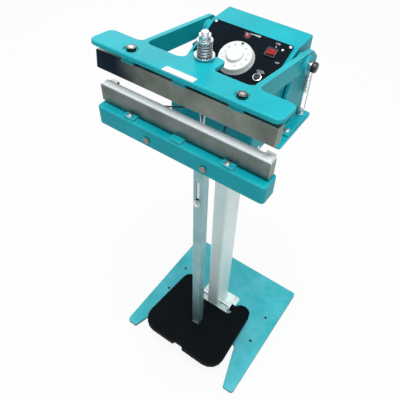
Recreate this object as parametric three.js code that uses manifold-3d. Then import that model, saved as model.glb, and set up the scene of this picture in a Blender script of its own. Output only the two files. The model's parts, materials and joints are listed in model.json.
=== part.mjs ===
// Foot pedal sealer: a floor-standing bar sealer whose jaws are closed by a pedal.
// Millimetres, +Z up. The origin is the middle of the base on the floor, the front is -Y.
import * as THREE from "three";
import { mergeVertices } from "three/addons/utils/BufferGeometryUtils.js";
import Module from "manifold-3d";

const wasm = await Module();
wasm.setup();

// Room between pieces that touch, overrun of every cut, and the distance that welds two points
const seat = 0.3;
const overrun = 8;
const weld = 0.0002;

// Facets: steps in a quarter turn of a rounded corner, and sides of large and small rounds
const quarterSteps = 3;
const largeSides = 36;
const smallSides = 14;
const crownSides = 216;
const leastAcrossShare = 0.5;

// Base casting, hollow below and open at the front for the foot
const base = {
  width: 404,
  depth: 405,
  floorGap: 3,
  skirt: 12,
  plate: 5,
  wall: 5,
  edge: 1.5,
  corner: 10,
  legFront: 33,
  legRear: 73,
  notch: 130.5,
  notchCorner: 12,
  rib: 4,
  holeRadius: 4.5,
  holeInset: 39,
  holeRear: 65,
  holeFront: -32,
  bossRadius: 11,
};
const foot = { radius: 9, waist: 7.5, chamfer: 1, insetX: 16.8, insetFront: 14.5, insetRear: 17.5 };

// Column: one welded piece of foot flange, rounded tube, pedal lugs and head plate
const column = {
  width: 40,
  depth: 70,
  centreY: 24,
  corner: 8,
  wall: 2.5,
  flangeWidth: 120,
  flangeDepth: 94,
  flange: 7,
  flangeCorner: 6,
  headWidth: 110,
  headPlate: 6,
  lug: 6,
  lugRadius: 14,
};
const flangeBolt = { flats: 12, head: 5.5, radius: 4, spanX: 100, spanY: 76, reach: 9 };

// Pedal, in its own level frame about the hinge, and the shaft it turns on
const pedal = {
  hingeY: 8,
  hingeZ: 62,
  tilt: 4,
  top: 15.4,
  thickness: 24,
  sheet: 5,
  edge: 2,
  frontReach: 210.5,
  frontHalf: 138,
  frontCorner: 44,
  rearHalf: 125,
  earInner: 73,
  earReach: 22,
  earCorner: 25.4,
  cutout: 33,
  cutoutCorner: 9,
  noseWidth: 26,
  noseDepth: 8,
  noseCorner: 4,
  rib: 4,
  bossRadius: 11,
  bossFrom: 61,
  bossTo: 121,
  slotWidth: 34,
  slotDepth: 38,
  slotCorner: 5,
  cheekInner: 14,
  cheek: 5,
};
const shaft = { radius: 6, half: 118 };

// Pull rod: square tube, stud that slides in it, clamp bolt and clevis pin
const rod = {
  y: -94,
  side: 25,
  wall: 2,
  corner: 3,
  pivotZ: 66,
  toe: 14,
  top: 760,
  studRadius: 6,
  slideBottom: 630,
  slideTop: 730,
  studTop: 1041,
  slotWidth: 9,
  slotBottom: 641,
  slotTop: 714,
  boltZ: 648,
  boltFlats: 13,
  boltHead: 5,
  boltRadius: 4,
  boltWasher: 9,
  boltWasherThick: 1.6,
  boltReach: 12,
};
const clevisPin = { radius: 4, headRadius: 6.5, head: 3, tail: 3 };

// Pressing frame, in the level frame that it has when the jaws are closed, about its pivot
const arm = {
  pivotY: 67,
  pivotZ: 943,
  travel: 7.5,
  plateTop: 28.9,
  plate: 9,
  front: 243.9,
  rear: 187.4,
  half: 180,
  corner: 12,
  fillet: 11,
  centre: 108,
  web: 9,
  webHeight: 34,
  fall: 2.35,
  boss: 17,
  bossInner: 102,
  bossOuter: 118,
  hookReach: 38,
  hookDrop: 8,
  hookRadius: 2.5,
  lugRadius: 9,
  tongueHalf: 30,
  tongueRear: 145,
  tongueCorner: 10,
  studReach: 166.9,
  studHole: 8.5,
  seatRadius: 15,
  seatHeight: 5,
  seatCrown: 120,
  spotRadius: 13.5,
  spotDepth: 3,
  edge: 1.5,
};
const frameBolt = { spread: 105, flats: 15, head: 6.5, radius: 4, reach: 14 };
const upperBar = { length: 350, depth: 18, height: 33.7, front: 232, face: 25.2, edge: 1 };
const strip = { width: 12, thickness: 2.4, groove: 1.2, endGap: 4 };
const pad = { spread: 104, width: 24, frontGap: 8, rearGap: 2 };

// Lower jaw on its beam
const lowerBar = { length: 350, depth: 17.2, front: -165.5, bottom: 879.5, height: 35.3, edge: 1 };
const ribbon = { width: 5, thickness: 0.5, half: 166, tab: 8, drop: 10 };
const cover = { width: 15, thickness: 0.5, half: 172 };
const clamp = { width: 16, depth: 9, height: 20, drop: 2, edge: 1, screwRadius: 3, screw: 3 };
const beam = {
  half: 179,
  front: -180,
  rear: -140,
  bottom: 833.5,
  top: 873.5,
  corner: 7,
  edge: 2,
  wall: 5,
  boltSpread: 61.5,
  boltZ: 850,
  boss: 9,
};
const beamBolt = { headRadius: 6.5, head: 4, radius: 3.5 };

// Chassis: platform on the column's head plate, two cheeks and the flange that holds the beam
const chassis = {
  top: 800,
  plate: 5,
  corner: 6,
  neckHalf: 82,
  neckFront: -118,
  wingHalf: 122,
  wingFront: -6,
  rear: 129,
  notchHalf: 40,
  notchRear: -40,
  cheek: 8,
  cheekTop: 872,
  cheekBottom: 832,
  cheekToe: -76,
  flange: 6,
};

// Posts that hold the pressing frame's pivots, their bolts and the return springs
const post = {
  inner: 95,
  plate: 6,
  front: 30,
  rear: 118,
  shoulderFront: 885,
  shoulderRear: 895,
  boss: 17,
  footOuter: 120,
  foot: 5,
  corner: 8,
};
const postBolt = { x: 109.5, y: 41, headRadius: 7.5, head: 5.5, radius: 3.5, reach: 14 };
const pivotBolt = {
  start: 95.6,
  radius: 6,
  collar: 8,
  collarTo: 124,
  cap: 9.6,
  capTo: 133,
  dome: 3,
};
const returnSpring = {
  wire: 1,
  coilRadius: 5.4,
  bottom: 862,
  turns: 16,
  pitch: 3.1,
  legX: 114.3,
  hookInnerX: 102.3,
  bend: 3,
};
const stack = {
  gap: 0.7,
  washer: 17,
  thick: 2.5,
  springWire: 1.6,
  springRadius: 11.4,
  turns: 5,
  pitch: 3.96,
};
const topStack = { washer: 13, flats: 19, nut: 8.2 };
const anchor = { eyeZ: 813, eye: 6.5, hole: 2.4, thick: 6, flats: 12, hex: 4, radius: 3, reach: 13 };

// Control box: one folded cover with a sloping front
const box = {
  half: 92,
  front: -70,
  rear: 127,
  top: 968,
  crest: 67,
  lip: 907.7,
  sheet: 2,
  edge: 2,
  corner: 4,
};
const panel = { half: 84, rearGap: 1.2, length: 132, thickness: 2, corner: 3 };
const dial = {
  x: 2,
  y: 6,
  radius: 34.5,
  skirt: 13,
  edge: 3,
  hub: 12,
  hubHeight: 5,
  shaft: 3,
  shaftReach: 14,
};
const lamp = { x: -5, y: 54, radius: 5, flange: 7, flangeHeight: 1.6, dome: 4.5, reach: 16 };
const fuse = { x: 57, y: -11, radius: 6, flange: 8.5, height: 4, cap: 5.6, capHeight: 2, reach: 30 };
const bezel = {
  x: 53,
  y: 40,
  half: 10.5,
  halfLength: 9.5,
  height: 2.4,
  bodyHalf: 9,
  bodyLength: 8.6,
  pocketHalf: 7.5,
  pocketLength: 7.2,
  pocket: 9,
  reach: 15,
  pin: 1,
  corner: 1.5,
};
const rocker = { half: 7.1, length: 6.1, crest: 3.6, dip: 2.6, keel: 4.5, keelLength: 3.66, tilt: 10 };
const board = {
  half: 46,
  length: 35,
  thickness: 1.6,
  depth: 26,
  post: 3,
  postGap: 6,
  pot: 10,
  potHeight: 12,
  bush: 5,
};
const transformer = {
  width: 76,
  height: 64,
  stack: 40,
  centreY: 75,
  limb: 13,
  window: 12.4,
  coilBulge: 13,
  coilGap: 0.5,
};
const gland = {
  x: -50,
  z: 832,
  thread: 8,
  nut: 11,
  nutHeight: 4,
  hex: 22,
  hexHeight: 6,
  cap: 9,
  mouth: 6.5,
  capHeight: 14,
  bore: 3.4,
};
const lead = {
  radius: 1.6,
  exitX: 45,
  exitZ: 870,
  inside: 8,
  behind: -141.5,
  runZ: 892,
  sides: 8,
  steps: 32,
};

// Switch under the left arm
const microswitch = {
  reach: 24,
  inner: 101,
  thick: 12.6,
  length: 20,
  height: 26,
  drop: 12,
  pin: 2.2,
  hold: 7,
  travel: 3.8,
};

// Materials
const paint = (color, roughness, metalness) =>
  new THREE.MeshStandardMaterial({ color, roughness, metalness });
const tealPaint = paint(0x4fbfce, 0.45, 0.1);
const paleSteel = paint(0xc8d6d6, 0.4, 0.7);
const brightSteel = paint(0xd6dadd, 0.25, 1);
const rodSteel = paint(0x93a7a4, 0.4, 0.8);
const barMetal = paint(0x8f969c, 0.3, 0.9);
const whitePlastic = paint(0xe9eef0, 0.4, 0);
const blackPaint = paint(0x10181c, 0.45, 0.1);
const blackPlastic = paint(0x0c0e12, 0.35, 0);
const rubber = paint(0x18191b, 0.9, 0);
const redRubber = paint(0x8f2f24, 0.8, 0);
const redPlastic = paint(0x8c1712, 0.3, 0);
const pinkLens = paint(0xf09aa0, 0.15, 0);
const nichrome = paint(0x9c8f86, 0.35, 0.9);
const coatedCloth = paint(0xcdc7b4, 0.6, 0);
const laminations = paint(0x55585c, 0.6, 0.7);
const copper = paint(0xb5683a, 0.4, 0.8);
const boardGreen = paint(0x1c5a3a, 0.5, 0);
const brass = paint(0xb99a4e, 0.35, 0.9);

// A closed three.js geometry as a solid that can be joined and cut
function solid(geometry) {
  const bare = geometry.index ? geometry.toNonIndexed() : geometry.clone();
  bare.deleteAttribute("normal");
  bare.deleteAttribute("uv");
  const merged = mergeVertices(bare, weld);
  return new wasm.Manifold(
    new wasm.Mesh({
      numProp: 3,
      vertProperties: merged.attributes.position.array,
      triVerts: new Uint32Array(merged.index.array),
    }),
  );
}
const join = (...parts) => parts.flat().reduce((whole, part) => whole.add(part));
const cut = (whole, ...tools) => tools.flat().reduce((left, tool) => left.subtract(tool), whole);
const sides = [-1, 1];

// An outline from [x, y, radius] corners, each rounded by an arc that touches both its edges
function outline(corners) {
  const points = [];
  corners.forEach(([x, y, radius = 0], i) => {
    const here = new THREE.Vector2(x, y);
    if (!radius) {
      points.push(here);
      return;
    }
    const before = corners[(i + corners.length - 1) % corners.length];
    const after = corners[(i + 1) % corners.length];
    const back = new THREE.Vector2(before[0], before[1]).sub(here).normalize();
    const ahead = new THREE.Vector2(after[0], after[1]).sub(here).normalize();
    const half = Math.acos(THREE.MathUtils.clamp(back.dot(ahead), -1, 1)) / 2;
    const centre = here.clone().add(back.clone().add(ahead).setLength(radius / Math.sin(half)));
    const spoke = here.clone().addScaledVector(back, radius / Math.tan(half)).sub(centre);
    const turn = -Math.sign(back.cross(ahead)) * (Math.PI - 2 * half);
    const steps = Math.max(1, Math.ceil((Math.abs(turn) / (Math.PI / 2)) * quarterSteps));
    for (let k = 0; k <= steps; k++) {
      points.push(spoke.clone().rotateAround(new THREE.Vector2(), (turn * k) / steps).add(centre));
    }
  });
  return points;
}
const rectangle = (x0, y0, x1, y1, radius = 0) =>
  outline([
    [x0, y0, radius],
    [x1, y0, radius],
    [x1, y1, radius],
    [x0, y1, radius],
  ]);
const centred = (x, y, width, height, radius = 0) =>
  rectangle(x - width / 2, y - height / 2, x + width / 2, y + height / 2, radius);
function round(x, y, radius, count = smallSides) {
  const angle = (k) => (2 * Math.PI * (k + 0.5)) / count;
  return Array.from(
    { length: count },
    (_, k) => new THREE.Vector2(x + radius * Math.cos(angle(k)), y + radius * Math.sin(angle(k))),
  );
}
const hexagon = (x, y, flats) => round(x, y, flats / Math.sqrt(3), 6);

// An outline pulled along an axis. It is drawn in (y, z) for x, in (x, z) for y and in (x, y) for z.
// With an edge, both ends are bevelled inwards by that much.
const axisX = new THREE.Vector3(1, 0, 0);
const axisY = new THREE.Vector3(0, 1, 0);
const axisZ = new THREE.Vector3(0, 0, 1);
const turns = {
  x: new THREE.Matrix4().makeBasis(axisY, axisZ, axisX),
  y: new THREE.Matrix4().makeBasis(axisX, axisZ, axisY.clone().negate()),
  z: new THREE.Matrix4(),
};
function pull(points, axis, from, to, edge = 0) {
  const low = Math.min(from, to);
  const high = Math.max(from, to);
  const geometry = new THREE.ExtrudeGeometry(new THREE.Shape(points), {
    depth: high - low - 2 * edge,
    bevelEnabled: edge > 0,
    bevelThickness: edge,
    bevelSize: edge,
    bevelOffset: -edge,
    bevelSegments: 1,
  });
  geometry.translate(0, 0, edge);
  geometry.applyMatrix4(turns[axis]);
  const start = { x: [low, 0, 0], y: [0, high, 0], z: [0, 0, low] }[axis];
  return solid(geometry.translate(...start));
}
const block = (x0, x1, y0, y1, z0, z1) => pull(rectangle(x0, y0, x1, y1), "z", z0, z1);

// A profile of [radius, height] points, from the bottom up, turned about an axis through a point
function turned(profile, axis, point, count = smallSides) {
  const geometry = new THREE.LatheGeometry(
    profile.map(([radius, height]) => new THREE.Vector2(radius, height)),
    count,
  );
  if (axis === "z") geometry.rotateX(Math.PI / 2);
  if (axis === "x") geometry.rotateZ(-Math.PI / 2);
  return solid(geometry.translate(...point));
}

// A round wire along points: rings square to the way, carried along without twist, and flat ends
function wire(points, radius, ringSides) {
  const count = points.length;
  const tangent = points.map((_, i) =>
    points[Math.min(i + 1, count - 1)].clone().sub(points[Math.max(i - 1, 0)]).normalize(),
  );
  let across = new THREE.Vector3().crossVectors(tangent[0], axisY);
  if (across.length() < leastAcrossShare) across = new THREE.Vector3().crossVectors(tangent[0], axisX);
  across.normalize();
  const vertices = [];
  points.forEach((point, i) => {
    across.addScaledVector(tangent[i], -across.dot(tangent[i])).normalize();
    const other = new THREE.Vector3().crossVectors(tangent[i], across);
    for (let k = 0; k < ringSides; k++) {
      const angle = (2 * Math.PI * k) / ringSides;
      const spoke = across.clone().multiplyScalar(radius * Math.cos(angle));
      spoke.addScaledVector(other, radius * Math.sin(angle));
      vertices.push(...point.clone().add(spoke).toArray());
    }
  });
  vertices.push(...points[0].toArray(), ...points[count - 1].toArray());
  const index = [];
  for (let i = 0; i + 1 < count; i++) {
    for (let k = 0; k < ringSides; k++) {
      const a = i * ringSides + k;
      const b = i * ringSides + ((k + 1) % ringSides);
      index.push(a, b, b + ringSides, a, b + ringSides, a + ringSides);
    }
  }
  const last = (count - 1) * ringSides;
  for (let k = 0; k < ringSides; k++) {
    const next = (k + 1) % ringSides;
    index.push(count * ringSides, next, k);
    index.push(count * ringSides + 1, last + k, last + next);
  }
  const geometry = new THREE.BufferGeometry();
  geometry.setAttribute("position", new THREE.Float32BufferAttribute(vertices, 3));
  return geometry.setIndex(index);
}

// The least gap of a wire to itself, from its points, leaving out each point's own neighbourhood
function leastGap(points, radius, skip) {
  let least = Infinity;
  points.forEach((point, i) => {
    for (let k = i + skip; k < points.length; k++) least = Math.min(least, point.distanceTo(points[k]));
  });
  return least - 2 * radius;
}
const curlSteps = 8;
const curlSides = 5;
function helix(centreX, centreY, radius, bottom, pitch, turnCount, startAngle) {
  return Array.from({ length: turnCount * curlSteps + 1 }, (_, i) => {
    const angle = startAngle + (2 * Math.PI * i) / curlSteps;
    return new THREE.Vector3(
      centreX + radius * Math.cos(angle),
      centreY + radius * Math.sin(angle),
      bottom + (pitch * i) / curlSteps,
    );
  });
}

// The object, and how a finished piece goes into it or into one of its turned groups
const sealer = new THREE.Group();
function geometryOf(whole) {
  const made = whole.getMesh();
  const geometry = new THREE.BufferGeometry();
  geometry.setAttribute("position", new THREE.Float32BufferAttribute(made.vertProperties, 3));
  geometry.setIndex(new THREE.BufferAttribute(made.triVerts, 1));
  const flat = geometry.toNonIndexed();
  flat.computeVertexNormals();
  return flat;
}
function place(name, made, material, parent = sealer) {
  const geometry = made.isBufferGeometry ? made : geometryOf(made);
  const mesh = new THREE.Mesh(geometry, material);
  mesh.name = name;
  parent.add(mesh);
  return mesh;
}
// A piece made for the right side, and its mirror image on the left
function pair(name, made, material, parent = sealer) {
  place(name + "_right", made, material, parent);
  place(name + "_left", made, material, parent).scale.x = -1;
}
const degrees = THREE.MathUtils.degToRad;

// Base casting: a U in plan, shelled from below, with ribs and bosses
const baseTop = base.floorGap + base.skirt;
const mouthHalf = base.width / 2 - base.legFront;
const rootHalf = base.width / 2 - base.legRear;
const notchSlant = Math.hypot(1, (mouthHalf - rootHalf) / base.notch);
function baseOutline(inset) {
  const x = base.width / 2 - inset;
  const y = base.depth / 2 - inset;
  const mouth = mouthHalf + inset * notchSlant;
  const root = rootHalf + inset * notchSlant;
  const notchY = base.notch - base.depth / 2 + inset;
  const corner = Math.max(base.corner - inset, weld);
  return outline([
    [-x, -y, corner],
    [-mouth, -y, corner / 2],
    [-root, notchY, base.notchCorner],
    [root, notchY, base.notchCorner],
    [mouth, -y, corner / 2],
    [x, -y, corner],
    [x, y, corner],
    [-x, y, corner],
  ]);
}
const holePlaces = sides.flatMap((side) => [
  [side * (base.width / 2 - base.holeInset), base.holeRear],
  [side * (base.width / 2 - base.holeInset), base.holeFront],
]);
const flangeBoltPlaces = sides.flatMap((sideX) =>
  sides.map((sideY) => [
    (sideX * flangeBolt.spanX) / 2,
    column.centreY + (sideY * flangeBolt.spanY) / 2,
  ]),
);
const pocketTop = baseTop - base.plate;
const halfRib = base.rib / 2;
const reach = base.width;
const cutReach = reach / 8;
const ribs = join(
  flangeBoltPlaces.map(([x, y]) => block(x - halfRib, x + halfRib, y, y + reach, 0, baseTop)),
  sides.map((side) => block(
    (side * reach) / 2,
    0,
    column.centreY,
    column.centreY + base.rib,
    0,
    baseTop,
  )),
  holePlaces.map(([x, y]) => pull(round(x, y, base.bossRadius), "z", 0, baseTop)),
  flangeBoltPlaces.map(([x, y]) => pull(round(x, y, base.bossRadius), "z", 0, baseTop)),
);
const pocket = pull(baseOutline(base.wall), "z", base.floorGap - overrun, pocketTop).subtract(ribs);
place(
  "base_plate",
  cut(
    pull(baseOutline(0), "z", base.floorGap, baseTop, base.edge),
    pocket,
    holePlaces.map(([x, y]) => pull(round(x, y, base.holeRadius), "z", -overrun, baseTop + overrun)),
    flangeBoltPlaces.map(([x, y]) =>
      pull(round(x, y, flangeBolt.radius + seat), "z", -overrun, baseTop + overrun),
    ),
  ),
  tealPaint,
);
const footTop = pocketTop - seat;
for (const [row, y] of [
  ["front", foot.insetFront - base.depth / 2],
  ["rear", base.depth / 2 - foot.insetRear],
]) {
  const profile = [
    [0, 0],
    [foot.radius - foot.chamfer, 0],
    [foot.radius, foot.chamfer],
    [foot.waist, footTop],
    [0, footTop],
  ];
  pair("foot_" + row, turned(profile, "z", [base.width / 2 - foot.insetX, y, 0]), rubber);
}

// Column weldment
const flangeBottom = baseTop + seat;
const flangeTop = flangeBottom + column.flange;
const headTop = chassis.top - chassis.plate - seat;
const pedalHole = pull(
  round(pedal.hingeY, pedal.hingeZ, shaft.radius + seat),
  "x",
  -reach,
  reach,
);
const lugOutline = outline([
  [pedal.hingeY - column.lugRadius, flangeBottom],
  [pedal.hingeY + column.lugRadius, flangeBottom],
  [pedal.hingeY + column.lugRadius, pedal.hingeZ + column.lugRadius, column.lugRadius - weld],
  [pedal.hingeY - column.lugRadius, pedal.hingeZ + column.lugRadius, column.lugRadius - weld],
]);
place(
  "column",
  cut(
    join(
      pull(
        centred(0, column.centreY, column.width, column.depth, column.corner),
        "z",
        flangeBottom,
        headTop,
      ),
      pull(
        centred(0, column.centreY, column.flangeWidth, column.flangeDepth, column.flangeCorner),
        "z",
        flangeBottom,
        flangeTop,
      ),
      pull(
        centred(0, column.centreY, column.headWidth, column.flangeDepth, column.flangeCorner),
        "z",
        headTop - column.headPlate,
        headTop,
      ),
      sides.map((side) =>
        pull(
          lugOutline,
          "x",
          (side * column.flangeWidth) / 2,
          side * (column.flangeWidth / 2 - column.lug),
        ),
      ),
    ),
    pull(
      centred(
        0,
        column.centreY,
        column.width - 2 * column.wall,
        column.depth - 2 * column.wall,
        column.corner - column.wall,
      ),
      "z",
      flangeBottom - overrun,
      headTop + overrun,
    ),
    pedalHole,
    flangeBoltPlaces.map(([x, y]) =>
      pull(round(x, y, flangeBolt.radius + seat), "z", 0, flangeTop + overrun),
    ),
  ),
  paleSteel,
);
flangeBoltPlaces.forEach(([x, y], i) => {
  const headBottom = flangeTop + seat;
  place(
    "flange_bolt_" + (i + 1),
    join(
      pull(hexagon(x, y, flangeBolt.flats), "z", headBottom, headBottom + flangeBolt.head),
      pull(round(x, y, flangeBolt.radius), "z", baseTop - flangeBolt.reach, headBottom + seat),
    ),
    brightSteel,
  );
});

// Pedal, built level about its hinge and then tilted up at the front
const pedalGroup = new THREE.Group();
pedalGroup.position.set(0, pedal.hingeY, pedal.hingeZ);
pedalGroup.rotation.x = -degrees(pedal.tilt);
sealer.add(pedalGroup);
function pedalOutline(inset) {
  const front = inset - pedal.frontReach;
  const noseY = front + pedal.noseDepth;
  const nose = pedal.noseWidth / 2 + inset;
  const ear = pedal.earReach - inset;
  const right = [
    [nose, noseY, pedal.noseCorner],
    [nose + pedal.noseDepth / 2, front, pedal.noseCorner],
    [pedal.frontHalf - inset, front, pedal.frontCorner - inset],
    [pedal.rearHalf - inset, ear, pedal.earCorner - inset],
    [pedal.earInner + inset, ear, pedal.earCorner - inset],
    [pedal.earInner + inset, inset ? -pedal.cutout - inset : -pedal.cutout, pedal.cutoutCorner],
  ];
  const left = right.map(([x, y, radius]) => [-x, y, radius]).reverse();
  return outline([...right, ...left]);
}
const pedalBottom = pedal.top - pedal.thickness;
const rodReach = rod.y - pedal.hingeY;
const pedalPoint = new THREE.Vector3(0, rodReach, rod.pivotZ - pedal.hingeZ).applyAxisAngle(
  axisX,
  degrees(pedal.tilt),
);
const pedalPocket = pull(
  pedalOutline(pedal.sheet),
  "z",
  pedalBottom - overrun,
  pedal.top - pedal.sheet,
);
const ribRow = (y) => block(
  -reach,
  reach,
  y - pedal.rib / 2,
  y + pedal.rib / 2,
  pedalBottom + pedal.rib,
  pedal.top,
);
const pedalRibs = join(
  ribRow(pedalPoint.y - pedal.slotDepth / 2),
  ribRow(pedalPoint.y + pedal.slotDepth / 2),
  sides.map((side) =>
    pull(
      rectangle(
        side > 0 ? pedal.cheekInner : -pedal.cheekInner - pedal.cheek,
        -reach,
        side > 0 ? pedal.cheekInner + pedal.cheek : -pedal.cheekInner,
        -pedal.cutout,
      ),
      "z",
      pedalBottom,
      pedal.top,
    ),
  ),
);
const pedalShell = cut(pull(pedalOutline(0), "z", pedalBottom, pedal.top, pedal.edge), pedalPocket);
const clevisBore = pull(
  round(pedalPoint.y, pedalPoint.z, clevisPin.radius + seat),
  "x",
  -cutReach,
  cutReach,
);
place(
  "pedal_plate",
  cut(
    join(
      pedalShell,
      pedalRibs.intersect(pull(pedalOutline(pedal.edge), "z", pedalBottom, pedal.top - pedal.edge)),
      sides.map((side) =>
        pull(round(0, 0, pedal.bossRadius), "x", side * pedal.bossFrom, side * pedal.bossTo),
      ),
    ),
    pull(
      centred(0, pedalPoint.y, pedal.slotWidth, pedal.slotDepth, pedal.slotCorner),
      "z",
      pedal.top - pedal.sheet,
      pedal.top + overrun,
    ),
    pull(round(0, 0, shaft.radius + seat), "x", -reach, reach),
    clevisBore,
  ),
  blackPaint,
  pedalGroup,
);
place(
  "pedal_shaft",
  pull(round(pedal.hingeY, pedal.hingeZ, shaft.radius), "x", -shaft.half, shaft.half),
  brightSteel,
);
const pinHalf = pedal.cheekInner + pedal.cheek + seat;
place(
  "clevis_pin",
  join(
    pull(
      round(rod.y, rod.pivotZ, clevisPin.radius),
      "x",
      -pinHalf - clevisPin.tail,
      pinHalf + clevisPin.head / 2,
    ),
    pull(round(rod.y, rod.pivotZ, clevisPin.headRadius), "x", pinHalf, pinHalf + clevisPin.head),
  ),
  brightSteel,
);

// Pull rod: tube, sliding stud and clamp bolt
const tubeBottom = rod.pivotZ - rod.toe;
const bore = rod.side - 2 * rod.wall;
const tubeFront = rod.y - rod.side / 2;
place(
  "pull_tube",
  cut(
    pull(centred(0, rod.y, rod.side, rod.side, rod.corner), "z", tubeBottom, rod.top),
    pull(
      centred(0, rod.y, bore, bore, rod.corner - rod.wall),
      "z",
      tubeBottom - overrun,
      rod.top + overrun,
    ),
    pull(
      centred(
        0,
        (rod.slotBottom + rod.slotTop) / 2,
        rod.slotWidth,
        rod.slotTop - rod.slotBottom,
        rod.slotWidth / 2 - weld,
      ),
      "y",
      tubeFront - overrun,
      rod.y,
    ),
    pull(round(rod.y, rod.pivotZ, clevisPin.radius + seat), "x", -rod.side, rod.side),
  ),
  rodSteel,
);
const slide = bore - 2 * seat;
const clampHole = pull(
  round(0, rod.boltZ, rod.boltRadius + seat),
  "y",
  tubeFront - overrun,
  tubeFront + rod.boltReach + seat,
);
place(
  "pull_stud",
  cut(
    join(
      pull(centred(0, rod.y, slide, slide, rod.corner - rod.wall), "z", rod.slideBottom, rod.slideTop),
      pull(round(0, rod.y, rod.studRadius, largeSides / 2), "z", rod.slideTop - seat, rod.studTop),
    ),
    clampHole,
  ),
  brightSteel,
);
const washerFace = tubeFront - seat;
const boltFace = washerFace - rod.boltWasherThick;
place(
  "adjuster_bolt",
  join(
    pull(round(0, rod.boltZ, rod.boltWasher), "y", boltFace, washerFace),
    pull(hexagon(0, rod.boltZ, rod.boltFlats), "y", boltFace - rod.boltHead, boltFace + seat),
    pull(round(0, rod.boltZ, rod.boltRadius), "y", boltFace, tubeFront + rod.boltReach),
  ),
  brightSteel,
);

// Pressing frame: built in the level frame of the closed jaws, then opened about its pivot
const armGroup = new THREE.Group();
armGroup.position.set(0, arm.pivotY, arm.pivotZ);
armGroup.rotation.x = -degrees(arm.travel);
sealer.add(armGroup);
function openPoint(along, up) {
  const opened = new THREE.Vector2(along, up).rotateAround(new THREE.Vector2(), -degrees(arm.travel));
  return { y: arm.pivotY + opened.x, z: arm.pivotZ + opened.y };
}
const fallRate = Math.tan(degrees(arm.fall));
const stubEnd = arm.fillet - arm.rear + seat;
const webTop = (along) => arm.plateTop - (along - stubEnd) * fallRate;
const webBottom = (along) => webTop(along) - arm.webHeight;
const plateBottom = arm.plateTop - arm.plate;
const webInner = arm.centre - arm.web / 2;
const webOuter = arm.centre + arm.web / 2;
const platePlan = outline([
  [-arm.half, -arm.front, arm.corner],
  [arm.half, -arm.front, arm.corner],
  [arm.half, -arm.rear, arm.corner],
  [webOuter, -arm.rear, arm.fillet],
  [webOuter, stubEnd],
  [webInner, stubEnd],
  [webInner, -arm.rear, arm.fillet],
  [arm.tongueHalf, -arm.rear, arm.tongueCorner],
  [arm.tongueHalf, -arm.tongueRear, arm.tongueCorner],
  [-arm.tongueHalf, -arm.tongueRear, arm.tongueCorner],
  [-arm.tongueHalf, -arm.rear, arm.tongueCorner],
  [-webInner, -arm.rear, arm.fillet],
  [-webInner, stubEnd],
  [-webOuter, stubEnd],
  [-webOuter, -arm.rear, arm.fillet],
  [-arm.half, -arm.rear, arm.corner],
]);
const hookUp = -arm.hookDrop;
const webRoot = stubEnd - arm.fillet;
const webSide = outline([
  [webRoot, plateBottom],
  [webRoot + arm.webHeight - arm.plate, webBottom(webRoot + arm.webHeight), arm.fillet],
  [-arm.boss, webBottom(-arm.boss)],
  [0, -arm.boss],
  [arm.hookReach, hookUp - arm.lugRadius, arm.lugRadius / 2],
  [arm.hookReach + arm.lugRadius, hookUp - arm.lugRadius, arm.lugRadius - weld],
  [arm.hookReach + arm.lugRadius, hookUp + arm.lugRadius, arm.lugRadius - weld],
  [arm.boss, webTop(0), arm.boss / 2],
  [stubEnd, arm.plateTop],
  [webRoot, arm.plateTop],
]);
const barFace = -upperBar.front;
// The washer's seat is crowned, and square to the rod at half the travel, so that the washer can roll on it
const seatTop = arm.plateTop + arm.seatHeight;
const seatBoss = pull(
  round(0, -arm.studReach, arm.seatRadius, largeSides / 2),
  "z",
  plateBottom,
  seatTop + seat,
);
const halfTravel = degrees(arm.travel / 2);
const crown = pull(
  round(
    arm.seatCrown * Math.sin(halfTravel) - arm.studReach,
    seatTop - arm.seatCrown * Math.cos(halfTravel),
    arm.seatCrown,
    crownSides,
  ),
  "x",
  -arm.tongueHalf,
  arm.tongueHalf,
);
const tiltedSeat = seatBoss.intersect(crown);
const padBlocks = [-1, 0, 1].map((step) =>
  pull(
    centred(
      step * pad.spread,
      (barFace + upperBar.depth - pad.rearGap - arm.front + pad.frontGap) / 2,
      pad.width,
      arm.front - pad.frontGap + barFace + upperBar.depth - pad.rearGap,
      arm.edge,
    ),
    "z",
    upperBar.height - upperBar.face + seat,
    plateBottom + seat,
  ),
);
const boltAlong = barFace + upperBar.depth / 2;
const barTop = upperBar.height - upperBar.face;
place(
  "upper_frame",
  cut(
    join(
      pull(platePlan, "z", plateBottom, arm.plateTop, arm.edge),
      sides.map((side) => pull(webSide, "x", side * webInner, side * webOuter)),
      sides.map((side) =>
        pull(round(0, 0, arm.boss, largeSides), "x", side * arm.bossInner, side * arm.bossOuter),
      ),
      tiltedSeat,
      padBlocks,
    ),
    sides.map((side) =>
      pull(round(side * frameBolt.spread, boltAlong, arm.spotRadius, largeSides / 2), "z",
        arm.plateTop - arm.spotDepth, arm.plateTop + overrun),
    ),
    sides.map((side) =>
      pull(
        round(side * frameBolt.spread, boltAlong, frameBolt.radius + seat),
        "z",
        0,
        arm.plateTop + overrun,
      ),
    ),
    pull(round(0, -arm.studReach, arm.studHole, largeSides / 2), "z", 0, seatTop + overrun),
    pull(round(0, 0, pivotBolt.radius + seat), "x", -reach, reach),
    pull(round(arm.hookReach, hookUp, arm.hookRadius), "x", -reach, reach),
  ),
  tealPaint,
  armGroup,
);

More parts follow.
